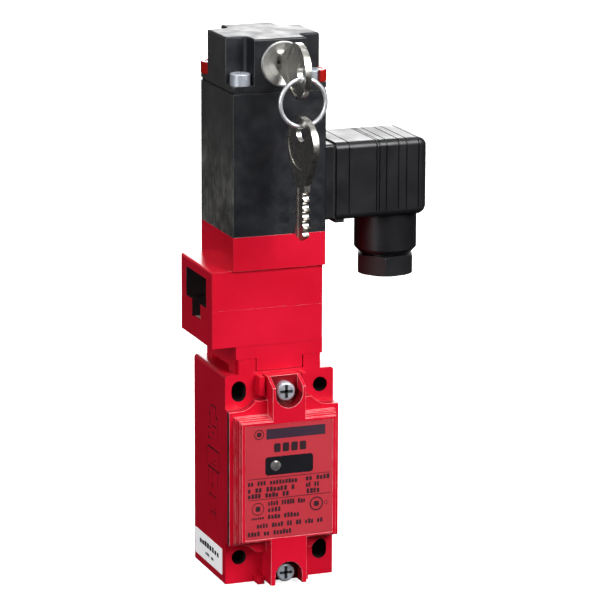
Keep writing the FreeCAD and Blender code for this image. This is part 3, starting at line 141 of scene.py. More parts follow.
soft_light("key_light", (0.56, -1.12, 0.92), 0.85, 0.85, 28)
soft_light("side_light", (-1.3, -0.75, 0.45), 0.4, 0.9, 11)
soft_light("back_light", (0.75, 1.35, 0.55), 0.9, 0.9, 12)
soft_light("top_light", (-0.05, 0.05, 1.3), 0.7, 0.10, 8)

HORIZON_BLUR = 0.15                  # the change reaches this far above and below the horizon
SKY_BELOW, SKY_ABOVE = 0.012, 0.15   # strength of the world
world = bpy.data.worlds.new("pale_world")
bpy.context.scene.world = world
world.use_nodes = True
sky = world.node_tree
sky_place = sky.nodes.new("ShaderNodeTexCoord")
sky_parts = sky.nodes.new("ShaderNodeSeparateXYZ")
sky_shade = sky.nodes.new("ShaderNodeMapRange")
sky_shade.inputs["From Min"].default_value = -HORIZON_BLUR
sky_shade.inputs["From Max"].default_value = HORIZON_BLUR
sky_shade.inputs["To Min"].default_value = SKY_BELOW
sky_shade.inputs["To Max"].default_value = SKY_ABOVE
sky.links.new(sky_place.outputs["Generated"], sky_parts.inputs["Vector"])
sky.links.new(sky_parts.outputs["Z"], sky_shade.inputs["Value"])
sky.links.new(sky_shade.outputs["Result"], sky.nodes["Background"].inputs["Strength"])
sky.nodes["Background"].inputs["Color"].default_value = (1.0, 1.0, 1.0, 1)
bpy.context.scene.view_settings.view_transform = "Standard"
print("lights:", [item.name for item in bpy.data.lights])

# %% [markdown]
# The floor stands for a lit sheet of white paper, and an open drum of the same paper stands
# round it, so that a low view has paper behind the switch and not the dim world. Both glow, so
# that they stay white far away from the lamps. They are kept out of reflections and of bounced
# light, so that the gloss on the paint comes from the lamps and the world.

# %% Floor and backdrop
FLOOR_SIZE, FLOOR_GAP = 12, 0.0002   # metres; the gap is under the switch
BACKDROP_R, BACKDROP_H = 5.9, 8      # metres
MIDDLE_Y, BACKDROP_Z = 3, 2          # both sheets are centred behind the switch
FLOOR_GLOW, BACKDROP_GLOW = 0.82, 1.0


def lit_paper(sheet, glow):
    """White paper that glows, kept out of reflections and bounced light."""
    paper = bpy.data.materials.new("white_paper")
    paper.use_nodes = True
    shader = paper.node_tree.nodes["Principled BSDF"]
    shader.inputs["Base Color"].default_value = (0.9, 0.9, 0.9, 1)
    shader.inputs["Roughness"].default_value = 0.9
    shader.inputs["Emission Color"].default_value = (1, 1, 1, 1)
    shader.inputs["Emission Strength"].default_value = glow
    sheet.data.materials.append(paper)
    sheet.visible_glossy = False
    sheet.visible_diffuse = False


bpy.ops.mesh.primitive_plane_add(size=FLOOR_SIZE, location=(0, MIDDLE_Y, solid_box[0][2] - FLOOR_GAP))
floor = bpy.context.object
floor.name = "floor"
lit_paper(floor, FLOOR_GLOW)
bpy.ops.mesh.primitive_cylinder_add(vertices=64, radius=BACKDROP_R, depth=BACKDROP_H,
                                    end_fill_type="NOTHING", location=(0, MIDDLE_Y, BACKDROP_Z))
backdrop = bpy.context.object
backdrop.name = "backdrop"
lit_paper(backdrop, BACKDROP_GLOW)
print("floor and backdrop are set")

# %% [markdown]
# ## Materials
# Each finish is a small node tree on Object coordinates, which are metres here because every
# piece sits at the origin. Numbers that are the same everywhere go straight on the shader.

# %% Material helpers
def new_material(name, **settings):
    """A material with a Principled shader, its settings, and the nodes to add to it."""
    material = bpy.data.materials.new(name)
    material.use_nodes = True
    nodes = material.node_tree.nodes
    shader = nodes["Principled BSDF"]
    for key, value in settings.items():
        shader.inputs[key.replace("_", " ")].default_value = value
    return material, shader


def add(material, kind, **inputs):
    node = material.node_tree.nodes.new(kind)
    for key, value in inputs.items():
        node.inputs[key.replace("_", " ")].default_value = value
    return node


def join(material, source, target):
    material.node_tree.links.new(source, target)


def object_noise(material, scale, detail=3.0, roughness=0.55, stretch=(1, 1, 1)):
    """Noise in the piece's own metres; stretch makes it longer along an axis."""
    place = add(material, "ShaderNodeTexCoord")
    mapping = add(material, "ShaderNodeMapping")
    mapping.inputs["Scale"].default_value = stretch
    noise = add(material, "ShaderNodeTexNoise", Scale=scale, Detail=detail, Roughness=roughness)
    join(material, place.outputs["Object"], mapping.inputs["Vector"])
    join(material, mapping.outputs["Vector"], noise.inputs["Vector"])
    return noise


def ramp(material, source, stops):
    """A colour ramp over the source, from a list of (place, colour)."""
    node = add(material, "ShaderNodeValToRGB")
    elements = node.color_ramp.elements
    while len(elements) < len(stops):
        elements.new(0.5)
    for element, (place, colour) in zip(elements, stops):
        element.position = place
        element.color = colour if len(colour) == 4 else (*colour, 1)
    join(material, source, node.inputs["Fac"])
    return node


def bump(material, shader, source, strength, distance, after=None):
    node = add(material, "ShaderNodeBump", Strength=strength, Distance=distance)
    join(material, source, node.inputs["Height"])
    if after is not None:
        join(material, after.outputs["Normal"], node.inputs["Normal"])
    join(material, node.outputs["Normal"], shader.inputs["Normal"])
    return node


def grey(value):
    return (value, value, value, 1)

# %% [markdown]
# ### Red lacquer
# The castings are sprayed with a thick gloss lacquer. It has a slight orange peel, a clear
# glossy skin, and its colour drifts a little where the film is thinner.

# %% Red lacquer
def red_lacquer(name, deep=(0.60, 0.002, 0.018), pale=(0.72, 0.006, 0.032), peel=0.10):
    material, shader = new_material(name, Roughness=0.36, Coat_Weight=0.30, Coat_Roughness=0.09,
                                    Specular_IOR_Level=0.30)
    drift = object_noise(material, 38, detail=4)
    tint = ramp(material, drift.outputs["Fac"], [(0.30, deep), (0.70, pale)])
    join(material, tint.outputs["Color"], shader.inputs["Base Color"])
    skin = object_noise(material, 950, detail=1.5)
    bump(material, shader, skin.outputs["Fac"], peel, 0.00012)
    return material


# Pale edge film: rubbed paint plus a painted highlight on every rounded edge.
def worn_highlight_edge(name, pale, deep, dull=0.22):
    """The film on a rounded edge: thin and rubbed, with a painted highlight that makes it brighter, in
    broken stretches.
    """
    material, shader = new_material(name, Roughness=dull, Coat_Weight=0.6, Coat_Roughness=0.08,
                                    Specular_IOR_Level=0.6)
    patches = object_noise(material, 160, detail=5, roughness=0.65)
    tint = ramp(material, patches.outputs["Fac"], [(0.32, deep), (0.54, pale)])
    join(material, tint.outputs["Color"], shader.inputs["Base Color"])
    return material


# %% [markdown]
# ### Black mouldings
# The solenoid and its cap are a compressed thermoset with a dull, slightly scuffed skin. The
# plug is a finer, darker plastic. Both get a fine grain; the thermoset also gets pale marks: on the
# left wall an even painted light and rub marks that grow toward its foot as painted bounce light,
# and faint smudges on the front.

# %% Rub marks and painted light
LEFT_WALL_X = -17.0 * MM              # the rubbed wall lies left of this
# The left wall grows paler from the upper height to the lower one: rub marks with painted bounce light.
PALE_FROM_Z, PALE_FULL_Z = 128.0 * MM, 100.0 * MM
FRONT_WALL_Y = -35.0 * MM
WALL_BLEND = 0.3 * MM                # the marks fade in over this depth
EVEN_PAINTED_LIGHT = 0.20                     # painted light that lies evenly all over the left wall


def span(material, source, start, stop):
    """0 before start, 1 after stop, straight between."""
    node = add(material, "ShaderNodeMapRange", From_Min=start, From_Max=stop)
    join(material, source, node.inputs["Value"])
    return node.outputs["Result"]


def product(material, first, second):
    node = add(material, "ShaderNodeMath")
    node.operation = "MULTIPLY"
    join(material, first, node.inputs[0])
    join(material, second, node.inputs[1])
    return node.outputs["Value"]


def rub_marks_and_painted_light(material):
    """How pale the skin is made: on the left wall an even painted light and rub marks that grow toward
    its foot as painted bounce light, and faint smudges on the front.
    """
    place = add(material, "ShaderNodeTexCoord")
    parts = add(material, "ShaderNodeSeparateXYZ")
    join(material, place.outputs["Object"], parts.inputs["Vector"])
    wall = span(material, parts.outputs["X"], LEFT_WALL_X, LEFT_WALL_X - WALL_BLEND)
    height = span(material, parts.outputs["Z"], PALE_FROM_Z, PALE_FULL_Z)
    cloud = object_noise(material, 70, detail=9, roughness=0.78)
    streak = object_noise(material, 260, detail=4, roughness=0.6, stretch=(1, 2.5, 0.5))
    patchy = product(material, span(material, cloud.outputs["Fac"], 0.42, 0.64),
                     span(material, streak.outputs["Fac"], 0.30, 0.66))
    scuffs_and_lift = product(material, height, patchy)
    film = add(material, "ShaderNodeMath")
    film.operation = "ADD"
    film.inputs[1].default_value = EVEN_PAINTED_LIGHT
    join(material, scuffs_and_lift, film.inputs[0])
    left = product(material, wall, film.outputs["Value"])
    front = span(material, parts.outputs["Y"], FRONT_WALL_Y + WALL_BLEND, FRONT_WALL_Y)
    smudge = object_noise(material, 48, detail=8, roughness=0.72, stretch=(1, 1, 1.6))
    faint = add(material, "ShaderNodeMapRange", From_Min=0.58, From_Max=0.80, To_Max=0.22)
    join(material, smudge.outputs["Fac"], faint.inputs["Value"])
    both = add(material, "ShaderNodeMath")
    both.operation = "ADD"
    join(material, left, both.inputs[0])
    join(material, product(material, front, faint.outputs["Result"]), both.inputs[1])
    return both.outputs["Value"]


# %% Black mouldings
def thermoset(name):
    material, shader = new_material(name, Specular_IOR_Level=0.42)
    cloud = object_noise(material, 130, detail=6, roughness=0.7)
    tones = [(0.40, (0.008, 0.009, 0.012)), (0.60, (0.014, 0.015, 0.019)), (0.80, (0.029,) * 3)]
    skin = ramp(material, cloud.outputs["Fac"], tones)
    # Pale film: rub marks and painted light on the left wall, smudges on the front.
    rub_and_light_mix = add(material, "ShaderNodeMix")
    rub_and_light_mix.data_type = "RGBA"
    rub_and_light_mix.inputs["B"].default_value = (0.20, 0.20, 0.185, 1)
    join(material, rub_marks_and_painted_light(material), rub_and_light_mix.inputs["Factor"])
    join(material, skin.outputs["Color"], rub_and_light_mix.inputs["A"])
    join(material, rub_and_light_mix.outputs["Result"], shader.inputs["Base Color"])
    dull = ramp(material, cloud.outputs["Fac"], [(0.35, grey(0.34)), (0.75, grey(0.58))])
    join(material, dull.outputs["Color"], shader.inputs["Roughness"])
    grain = object_noise(material, 2600, detail=2)
    bump(material, shader, grain.outputs["Fac"], 0.12, 0.00006)
    return material


def fine_plastic(name, colour=(0.011, 0.011, 0.013), dull=0.42):
    material, shader = new_material(name, Specular_IOR_Level=0.5)
    cloud = object_noise(material, 90, detail=4)
    tint = ramp(material, cloud.outputs["Fac"], [(0.3, colour), (0.75, tuple(1.35 * c for c in colour))])
    join(material, tint.outputs["Color"], shader.inputs["Base Color"])
    sheen = ramp(material, cloud.outputs["Fac"], [(0.3, grey(dull - 0.06)), (0.7, grey(dull + 0.08))])
    join(material, sheen.outputs["Color"], shader.inputs["Roughness"])
    grain = object_noise(material, 3400, detail=1.5)
    bump(material, shader, grain.outputs["Fac"], 0.08, 0.00005)
    return material


# %% [markdown]
# ### Metals
# Zinc plate is bluish and a little cloudy, nickel is warm and bright, and the machined steel and
# brass inside are plainer. A lower share of bare metal stands for a dull or dusty surface.

# %% Metals
def metal(name, colour, dull, spread=0.10, scale=420, scratch=(1, 1, 1), strength=0.06, bare=1.0):
    material, shader = new_material(name, Metallic=bare)
    cloud = object_noise(material, scale, detail=5, stretch=scratch)
    tint = ramp(material, cloud.outputs["Fac"], [(0.3, tuple(0.86 * c for c in colour)), (0.7, colour)])
    join(material, tint.outputs["Color"], shader.inputs["Base Color"])
    rough = ramp(material, cloud.outputs["Fac"], [(0.3, grey(dull)), (0.7, grey(dull + spread))])
    join(material, rough.outputs["Color"], shader.inputs["Roughness"])
    bump(material, shader, cloud.outputs["Fac"], strength, 0.00005)
    return material


# %% [markdown]
# ### Film, lens, rubber, lacquer seal
# The front film is a satin pinkish red. The lamp lens is a smoky grey under a gloss coat. The
# lacquer seals are dark red, with a light gloss.

# %% Film and small finishes
def satin_film(name, colour, dull=0.45):
    material, shader = new_material(name, Specular_IOR_Level=0.4)
    cloud = object_noise(material, 60, detail=3)
    tint = ramp(material, cloud.outputs["Fac"], [(0.3, tuple(0.94 * c for c in colour)), (0.7, colour)])
    join(material, tint.outputs["Color"], shader.inputs["Base Color"])
    rough = ramp(material, cloud.outputs["Fac"], [(0.3, grey(dull)), (0.7, grey(dull + 0.12))])
    join(material, rough.outputs["Color"], shader.inputs["Roughness"])
    grain = object_noise(material, 5200, detail=1)
    bump(material, shader, grain.outputs["Fac"], 0.05, 0.00003)
    return material


def coated_lens(name, deep, pale):
    material, shader = new_material(name, Roughness=0.07, Coat_Weight=1.0, Coat_Roughness=0.04)
    cloud = object_noise(material, 420, detail=3)
    tint = ramp(material, cloud.outputs["Fac"], [(0.35, deep), (0.65, pale)])
    join(material, tint.outputs["Color"], shader.inputs["Base Color"])
    return material


FINISHES = {
    "red_paint": red_lacquer("red_paint"),
    "label": satin_film("label", (0.52, 0.032, 0.048)),
    "lens": coated_lens("lens", (0.10, 0.095, 0.095), (0.22, 0.205, 0.20)),
    "circuit_board": fine_plastic("circuit_board", (0.02, 0.09, 0.04)),
    "seal_rubber": fine_plastic("seal_rubber", (0.012, 0.012, 0.012), 0.7),
    "zinc_screw": metal("zinc_screw", (0.62, 0.67, 0.74), 0.36, bare=0.55),
    "black_thermoset": thermoset("black_thermoset"),
    "connector_black": fine_plastic("connector_black", (0.009, 0.009, 0.011), 0.40),
    "contact_plastic": fine_plastic("contact_plastic", (0.05, 0.05, 0.055)),
    "plunger_plastic": fine_plastic("plunger_plastic", (0.55, 0.52, 0.45)),
    "contact_brass": metal("contact_brass", (0.72, 0.50, 0.20), 0.30),
    "spring_steel": metal("spring_steel", (0.62, 0.61, 0.60), 0.28),
    "drum_steel": metal("drum_steel", (0.46, 0.45, 0.45), 0.34, scratch=(1, 8, 1)),
    "bush_bronze": metal("bush_bronze", (0.60, 0.40, 0.18), 0.36),
    "soft_iron": metal("soft_iron", (0.48, 0.48, 0.50), 0.36),
    "copper_wire": metal("copper_wire", (0.62, 0.24, 0.10), 0.34, scratch=(1, 1, 12)),
    "nickel": metal("nickel", (0.86, 0.84, 0.78), 0.26, scale=700, strength=0.012),
    "red_lacquer": fine_plastic("red_lacquer", (0.36, 0.008, 0.006), 0.20),
}
# Edge films for the rounded copies: rubbed paint with a painted highlight.
EDGES = {
    "red_paint": worn_highlight_edge("red_edge_highlight", (1.0, 0.42, 0.45), (0.84, 0.03, 0.06)),
    "black_thermoset": worn_highlight_edge("black_edge_highlight", (0.22, 0.22, 0.215), (0.020, 0.020, 0.024), 0.3),
    "connector_black": worn_highlight_edge("plug_edge_highlight", (0.030, 0.030, 0.033), (0.010, 0.010, 0.012), 0.3),
}
print("finishes:", len(FINISHES), "edge films:", len(EDGES))

# %% [markdown]
# ## The solid parts
# Every node takes the finish of its slot. The big castings and mouldings are also shown through
# a merged copy whose sharp edges get a real, small radius, because it is the thin bright line on
# each edge that tells the eye how large a part is.

# %% Finish every node
satin_lock = metal("satin_lock", (0.56, 0.56, 0.55), 0.40, spread=0.12, scale=900, strength=0.10)
ring_wire = metal("ring_wire", (0.92, 0.94, 0.96), 0.36, scale=600, bare=0.8)
dusty_plate = metal("dusty_plate", (0.62, 0.58, 0.52), 0.5, bare=0.2)
OWN_FINISH = {"lock_barrel": satin_lock, "lock_plug": satin_lock, "wear_plate": dusty_plate}
slot_of = {row["node"]: row["material_slot"] for row in frame["record"]["subparts"]}
for name, node in frame["nodes"].items():
    material = OWN_FINISH.get(name, FINISHES[slot_of[name]])
    if len(node.material_slots) == 0:
        node.data.materials.append(material)
    for place in node.material_slots:
        place.material = material
print("nodes with a finish:", len(frame["nodes"]))


# %% Rounded copies
def deselect_all():
    if bpy.context.object and bpy.context.object.mode != "OBJECT":
        bpy.ops.object.mode_set(mode="OBJECT")
    bpy.ops.object.select_all(action="DESELECT")


def select_only(piece):
    deselect_all()
    piece.select_set(True)
    bpy.context.view_layer.objects.active = piece


def apply_modifiers(piece):
    select_only(piece)
    for modifier in list(piece.modifiers):
        bpy.ops.object.modifier_apply(modifier=modifier.name)


def finish_piece(piece, name, body, slot, material=None):
    """Name, finish and body of a new piece."""
    piece.name = name
    piece.data.name = name
    if len(piece.data.materials) == 0:
        piece.data.materials.append(material or FINISHES[slot])
    else:
        piece.data.materials[0] = material or FINISHES[slot]
    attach(piece, body)
    return piece


def smooth_by_angle(piece, degrees=35):
    select_only(piece)
    bpy.ops.object.shade_smooth_by_angle(angle=math.radians(degrees))


def weigh_normals(piece):
    """Keeps big flat faces flat to the eye where a small radius meets them."""
    weigh = piece.modifiers.new("flat_faces", "WEIGHTED_NORMAL")
    weigh.keep_sharp = True
    weigh.weight = 100
    apply_modifiers(piece)


def merged_copy(node):
    """A copy of a solid node whose loose triangles are joined into one skin of flat faces."""
    source = frame["nodes"][node]
    piece = source.copy()
    piece.data = source.data.copy()
    piece.parent = None
    for key in list(piece.keys()):
        del piece[key]
    bpy.context.scene.collection.objects.link(piece)
    select_only(piece)
    bpy.ops.object.mode_set(mode="EDIT")
    bpy.ops.mesh.select_all(action="SELECT")
    bpy.ops.mesh.remove_doubles(threshold=1e-6)
    bpy.ops.mesh.dissolve_limited(angle_limit=math.radians(0.5))
    bpy.ops.object.mode_set(mode="OBJECT")
    return piece


def rounded_copy(node, width, segments=2, sharp=28):
    """A merged copy with a small radius on its sharp edges, which stands for the node."""
    piece = merged_copy(node)
    radius = piece.modifiers.new("radius", "BEVEL")
    radius.width = width * MM
    radius.segments = segments
    radius.limit_method = "ANGLE"
    radius.angle_limit = math.radians(sharp)
    radius.miter_outer = "MITER_SHARP"
    radius.use_clamp_overlap = True
    radius.harden_normals = True
    # The faces of the radius take the edge film, with its painted highlight.
    edge = EDGES.get(slot_of[node])
    if edge is not None:
        piece.data.materials.append(edge)
        radius.material = 1
    apply_modifiers(piece)
    smooth_by_angle(piece)
    weigh_normals(piece)
    finish_piece(piece, node + "_cast", frame["nodes"][node]["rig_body"], slot_of[node])
    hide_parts(node)
    return piece


EDGE_RADII = {"housing": 0.40, "cover": 0.26, "head_lower": 0.36, "head_upper": 0.36, "collar": 0.40,
              "coil_housing": 0.34, "cap": 0.36, "connector_base": 0.25, "connector_housing": 0.25,
              "gland_nut": 0.25, "tamper_seals": 0.8}
castings = {node: rounded_copy(node, width) for node, width in EDGE_RADII.items()}
for node, piece in castings.items():
    print(node, len(piece.data.vertices), "points")

# %% [markdown]
# ### Painted shade in the hollows
# The four fixing bores are painted almost black inside, and the wells of the cover screws a deeper
# red, as painted shade where the hollows are deep. Both are faces of the rounded copies, chosen by
# their place, that take a second finish.

# %% Bores and screw wells
FIX_X, FIX_Z = 30.0, 60.0            # pattern of the fixing bores
BORE_REACH = 4.2                     # their walls lie within this of a centre
WELL_R = 5.3                         # walls of the cover screws' wells lie within this
# Painted shade: near black for the walls of the fixing bores and of the tongue slot.
painted_shade_black = fine_plastic("painted_shade_black", (0.010, 0.003, 0.004), 0.6)


def paint_faces(piece, material, chosen):
    """Gives the faces that chosen(face) accepts a finish of their own."""
    piece.data.materials.append(material)
    index = len(piece.data.materials) - 1
    count = 0
    for face in piece.data.polygons:
        if chosen(face):
            face.material_index = index
            count += 1
    return count


def in_a_bore(face):
    if abs(face.normal.y) > 0.5:
        return False
    x, z = (abs(v) / MM for v in (face.center.x, face.center.z))
    return math.hypot(x - FIX_X / 2, z - FIX_Z / 2) < BORE_REACH


print("bore faces:", paint_faces(castings["housing"], painted_shade_black, in_a_bore))

# Painted shade: a much darker red for the walls of the cover screws' wells.
shaded_red = red_lacquer("shaded_red", (0.16, 0.001, 0.004), (0.26, 0.002, 0.009))
screw_low, screw_high = (Vector(c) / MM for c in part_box("cover_screws"))
HEAD_R = 3.4                         # radius of a screw's head
WELL_LIP = 0.4                       # faces this close to the cover's front stay as they are
cover_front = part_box("cover")[0].y / MM
well_centres = (screw_low.z + HEAD_R, screw_high.z - HEAD_R)


def in_a_well(face):
    x, y, z = face.center / MM
    near = min(math.hypot(x, z - level) for level in well_centres)
    return near < WELL_R and y > cover_front + WELL_LIP


print("well faces:", paint_faces(castings["cover"], shaded_red, in_a_well))

# %% [markdown]
# The tongue slot is painted as dark as the bores, as painted shade. Where the two halves of the head
# meet, and round the collar, the paint is chipped to a pale line that also carries a painted
# highlight, and a rubber lip follows the rim of the cover.

# %% Slot, chipped lines and rim
SLOT_SKIN = 0.8                      # walls this far inside the head belong to the slot
SLOT_DROP = 12.6                     # the slot reaches this far below the upper half
head_low, head_high = (Vector(c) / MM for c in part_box("head_upper"))
slot_foot = head_low.z - SLOT_DROP


def in_the_slot(face):
    x, y, z = face.center / MM
    inside_x = head_low.x + SLOT_SKIN < x < head_high.x - SLOT_SKIN
    inside_y = head_low.y + SLOT_SKIN < y < head_high.y - SLOT_SKIN
    return inside_x and inside_y and slot_foot < z < head_high.z - SLOT_SKIN


# The slot's walls take the same painted shade.
for node in ("head_lower", "head_upper"):
    print("slot faces of", node + ":", paint_faces(castings[node], painted_shade_black, in_the_slot))

# Near-white edge film at the seams: chipped paint with a painted highlight.
chipped_highlight = worn_highlight_edge("chipped_highlight_line", (1.0, 0.80, 0.78), (0.80, 0.05, 0.07), 0.35)
SEAM_REACH = 0.60                    # edge faces this close to a seam are chipped


def at_level(level):
    def chosen(face):
        edge_film = face.material_index == 1
        return edge_film and abs(face.center.z / MM - level) < SEAM_REACH and abs(face.normal.y) > 0.2
    return chosen


collar_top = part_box("collar")[1].z / MM
for node, level in (("head_upper", head_low.z), ("head_lower", head_low.z), ("collar", head_high.z),
                    ("collar", collar_top)):
    print("chipped faces of", node + ":", paint_faces(castings[node], chipped_highlight, at_level(level)))

rim_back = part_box("cover_gasket")[0].y / MM
half_width = abs(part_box("housing")[0].x / MM)
RIM_T = 1.7                          # thickness of the rubber lip
RIM_SLACK = 0.1


def on_the_rim(face):
    outside = abs(face.normal.x) > 0.9 and abs(face.center.x / MM) > half_width - RIM_SLACK
    return outside and rim_back - RIM_T < face.center.y / MM < rim_back + RIM_SLACK


print("rim faces:", paint_faces(castings["cover"], FINISHES["seal_rubber"], on_the_rim))

# %% [markdown]
# ## The printed front
# The front film is a thin satin sheet, and its print stands a few hundredths of a millimetre
# proud, as screen ink does. Each sheet starts as a box whose corners are then rounded.

# %% Blocks and inks
def block(low, high):
    """A box between two corners, in millimetres, as a new object at the origin."""
    deselect_all()
    middle = [(a + b) / 2 * MM for a, b in zip(low, high)]
    size = [(b - a) * MM for a, b in zip(low, high)]
    bpy.ops.mesh.primitive_cube_add(size=1, location=middle, scale=size)
    bpy.ops.object.transform_apply(location=True, rotation=True, scale=True)
    return bpy.context.object


def bevel_where(piece, chosen, width, segments):
    """Rounds the edges that chosen(edge) accepts, in edit mode."""
    select_only(piece)
    bpy.ops.object.mode_set(mode="EDIT")
    bpy.ops.mesh.select_all(action="DESELECT")
    mesh = bmesh.from_edit_mesh(piece.data)
    mesh.select_mode = {"EDGE"}
    for edge in mesh.edges:
        edge.select = chosen(edge)
    bmesh.update_edit_mesh(piece.data)
    bpy.ops.mesh.bevel(offset=width * MM, segments=segments, affect="EDGES")
    bpy.ops.object.mode_set(mode="OBJECT")


def along(edge, axis):
    run = edge.verts[1].co - edge.verts[0].co
    return abs(run.normalized()[axis]) > 0.99


AXIS_X, AXIS_Y = 0, 1                # what a sheet or a mark faces along
film_low, film_high = (Vector(c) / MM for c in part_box("label_plate"))
INK_Y = film_low.y                   # the front of the film
INK_T = 0.03                         # how proud the ink stands
INK_SUNK = 0.02                      # how far it reaches into what it is printed on
FILM_CORNER, CORNER_STEPS = 0.7, 6


def rounded_sheet(low, high, corner, axis, name, material, slot):
    """A thin sheet with round corners, facing along one axis."""
    sheet = block(low, high)
    bevel_where(sheet, lambda edge: along(edge, axis), corner, CORNER_STEPS)
    smooth_by_angle(sheet, 30)
    return finish_piece(sheet, name, "body", slot, material)


ink = satin_film("front_ink", (0.030, 0.012, 0.018), 0.40)
banner_ink = satin_film("banner_ink", (0.045, 0.022, 0.040), 0.36)
window_gloss = fine_plastic("window_gloss", (0.010, 0.010, 0.013), 0.16)
film = rounded_sheet(film_low, film_high, FILM_CORNER, AXIS_Y, "front_film", FINISHES["label"], "label")
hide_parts("label_plate")
print("film in mm:", [round(v, 1) for v in film_high - film_low])

# %% [markdown]
# A dark glossy window lies on the film, and the lamp stands out of it as a shallow dome: the
# slice that a plane cuts from a large ball.

# %% Window and lamp
WINDOW = ((-8.8, INK_Y - 0.06, 1.8), (8.8, INK_Y + 0.05, 8.4))
WINDOW_CORNER = 1.1
LAMP_X, LAMP_Z, LAMP_R, LAMP_RISE = -5.0, 5.1, 1.9, 0.5
rounded_sheet(*WINDOW, WINDOW_CORNER, AXIS_Y, "lamp_window", window_gloss, "lens")


def lamp_dome():
    """A slice of a large ball: shallow, round and smooth, with a flat back."""
    ball_r = (LAMP_R ** 2 + LAMP_RISE ** 2) / (2 * LAMP_RISE)
    front = WINDOW[0][1]
    middle = (LAMP_X * MM, (front - LAMP_RISE + ball_r) * MM, LAMP_Z * MM)
    deselect_all()
    bpy.ops.mesh.primitive_uv_sphere_add(segments=64, ring_count=64, radius=ball_r * MM,
                                         location=middle, rotation=(math.pi / 2, 0, 0))
    bpy.ops.object.transform_apply(location=True, rotation=True, scale=True)
    dome = bpy.context.object
    bpy.ops.object.mode_set(mode="EDIT")
    bpy.ops.mesh.select_all(action="SELECT")
    bpy.ops.mesh.bisect(plane_co=(0, front * MM, 0), plane_no=(0, 1, 0), use_fill=True, clear_outer=True)
    bpy.ops.mesh.select_all(action="SELECT")
    bpy.ops.mesh.normals_make_consistent(inside=False)
    bpy.ops.object.mode_set(mode="OBJECT")
    smooth_by_angle(dome, 50)
    return dome


lamp = finish_piece(lamp_dome(), "status_lamp", "body", "lens")
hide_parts("led_lens")
print("window and lamp are made")

# %% [markdown]
# One small block with rounded corners is modelled once. Every mark is a copy of it, stretched
# into its own box, so a row of them looks like small print and says nothing.

# %% One mark, many copies
MARK_CORNER = 0.16                   # of a mark one unit wide
WORD_GAP = 1.1                       # between words, in letters
LETTER_WIDTHS = (0.64, 0.84)         # from and to, in shares of the pitch
LETTER_HEIGHTS = (0.80, 0.80, 1.0, 1.0, 0.92)
mark_pattern = block((-0.5, -0.5, -0.5), (0.5, 0.5, 0.5))
bevel_where(mark_pattern, lambda edge: along(edge, AXIS_Y), MARK_CORNER, 2)
mark_mesh = mark_pattern.data
bpy.data.objects.remove(mark_pattern)


def marks(boxes, name, material, slot):
    """Copies of the one mark, each stretched into its own box, joined into one piece."""
    copies = []
    for low, high in boxes:
        copy = bpy.data.objects.new(name, mark_mesh.copy())
        middle = [(a + b) / 2 * MM for a, b in zip(low, high)]
        size = [b - a for a, b in zip(low, high)]
        copy.data.transform(Matrix.Translation(middle) @ Matrix.Diagonal((*size, 1)))
        bpy.context.scene.collection.objects.link(copy)
        copies.append(copy)
    select_only(copies[0])
    for copy in copies:
        copy.select_set(True)
    if len(copies) > 1:
        bpy.ops.object.join()
    return finish_piece(bpy.context.object, name, "body", slot, material)


def word_boxes(x0, x1, z, height, words, draw):
    """Boxes for a row of greeked words from x0 to x1, standing on z."""
    letters = sum(words) + WORD_GAP * (len(words) - 1)
    pitch = (x1 - x0) / letters
    boxes, x = [], x0
    for word in words:
        for _ in range(word):
            wide = pitch * draw.uniform(*LETTER_WIDTHS)
            tall = height * draw.choice(LETTER_HEIGHTS)
            boxes.append((x, x + wide, z, z + tall))
            x += pitch
        x += WORD_GAP * pitch
    return boxes


def on_front(rows):
    """Boxes of ink on the film, from their sides, foot and top."""
    return [((x0, INK_Y - INK_T, z0), (x1, INK_Y + INK_SUNK, z1)) for x0, x1, z0, z1 in rows]


print("one mark has", len(mark_mesh.polygons), "faces")

# %% [markdown]
# The cross recesses of the cover screws get painted shade: two crossed dark bars lie in each of
# them, behind the face of the head.

# %% Painted shade in the cross recesses
SHADE_HALF, SHADE_REACH = 0.52, 2.2    # half the width and half the length of a bar
SHADE_FROM, SHADE_TO = 0.45, 1.5       # depth behind the face of the head
cross_shade = fine_plastic("cross_shade", (0.012, 0.012, 0.014), 0.7)
shade_boxes = []
for level in well_centres:
    for half_x, half_z in ((SHADE_REACH, SHADE_HALF), (SHADE_HALF, SHADE_REACH)):
        shade_boxes.append(((-half_x, screw_low.y + SHADE_FROM, level - half_z),
                           (half_x, screw_low.y + SHADE_TO, level + half_z)))
marks(shade_boxes, "recess_shade", cross_shade, "zinc_screw")
print("dirt boxes:", len(shade_boxes))

# %% [markdown]
# The rows of small print, the four bold blocks, the two rules and the plain banner are laid out
# from short lists of places. A fixed seed gives the same letters on every run.

# %% Rows of small print
SMALL = 1.75                         # height of the small print
SMALL_ROWS = [(-15.2, 3.1, -1.6, (2, 3, 9)), (6.2, 15.2, -1.4, (2, 4)),
              (-15.2, 2.2, -4.0, (1, 2, 6, 1)), (6.2, 11.3, -3.8, (2, 2)),
              (-15.2, 0.1, -6.1, (4, 4, 2)), (6.5, 11.5, -6.1, (4,)),
              (-7.8, 6.2, -9.2, (4, 5, 3)), (-7.8, -2.8, -11.5, (4,)), (-7.8, 4.0, -14.0, (4, 5)),
              (-11.9, 12.6, -17.0, (4, 4, 2, 2, 3, 2)), (-15.2, 1.1, -19.8, (4, 2, 6))]
draw = random.Random(7)
small_boxes = []
for x0, x1, z, words in SMALL_ROWS:
    small_boxes += word_boxes(x0, x1, z, SMALL, words, draw)
small_boxes += word_boxes(-14.0, -9.2, -13.8, 0.8, (6,), draw)
marks(on_front(small_boxes), "small_print", ink, "label")

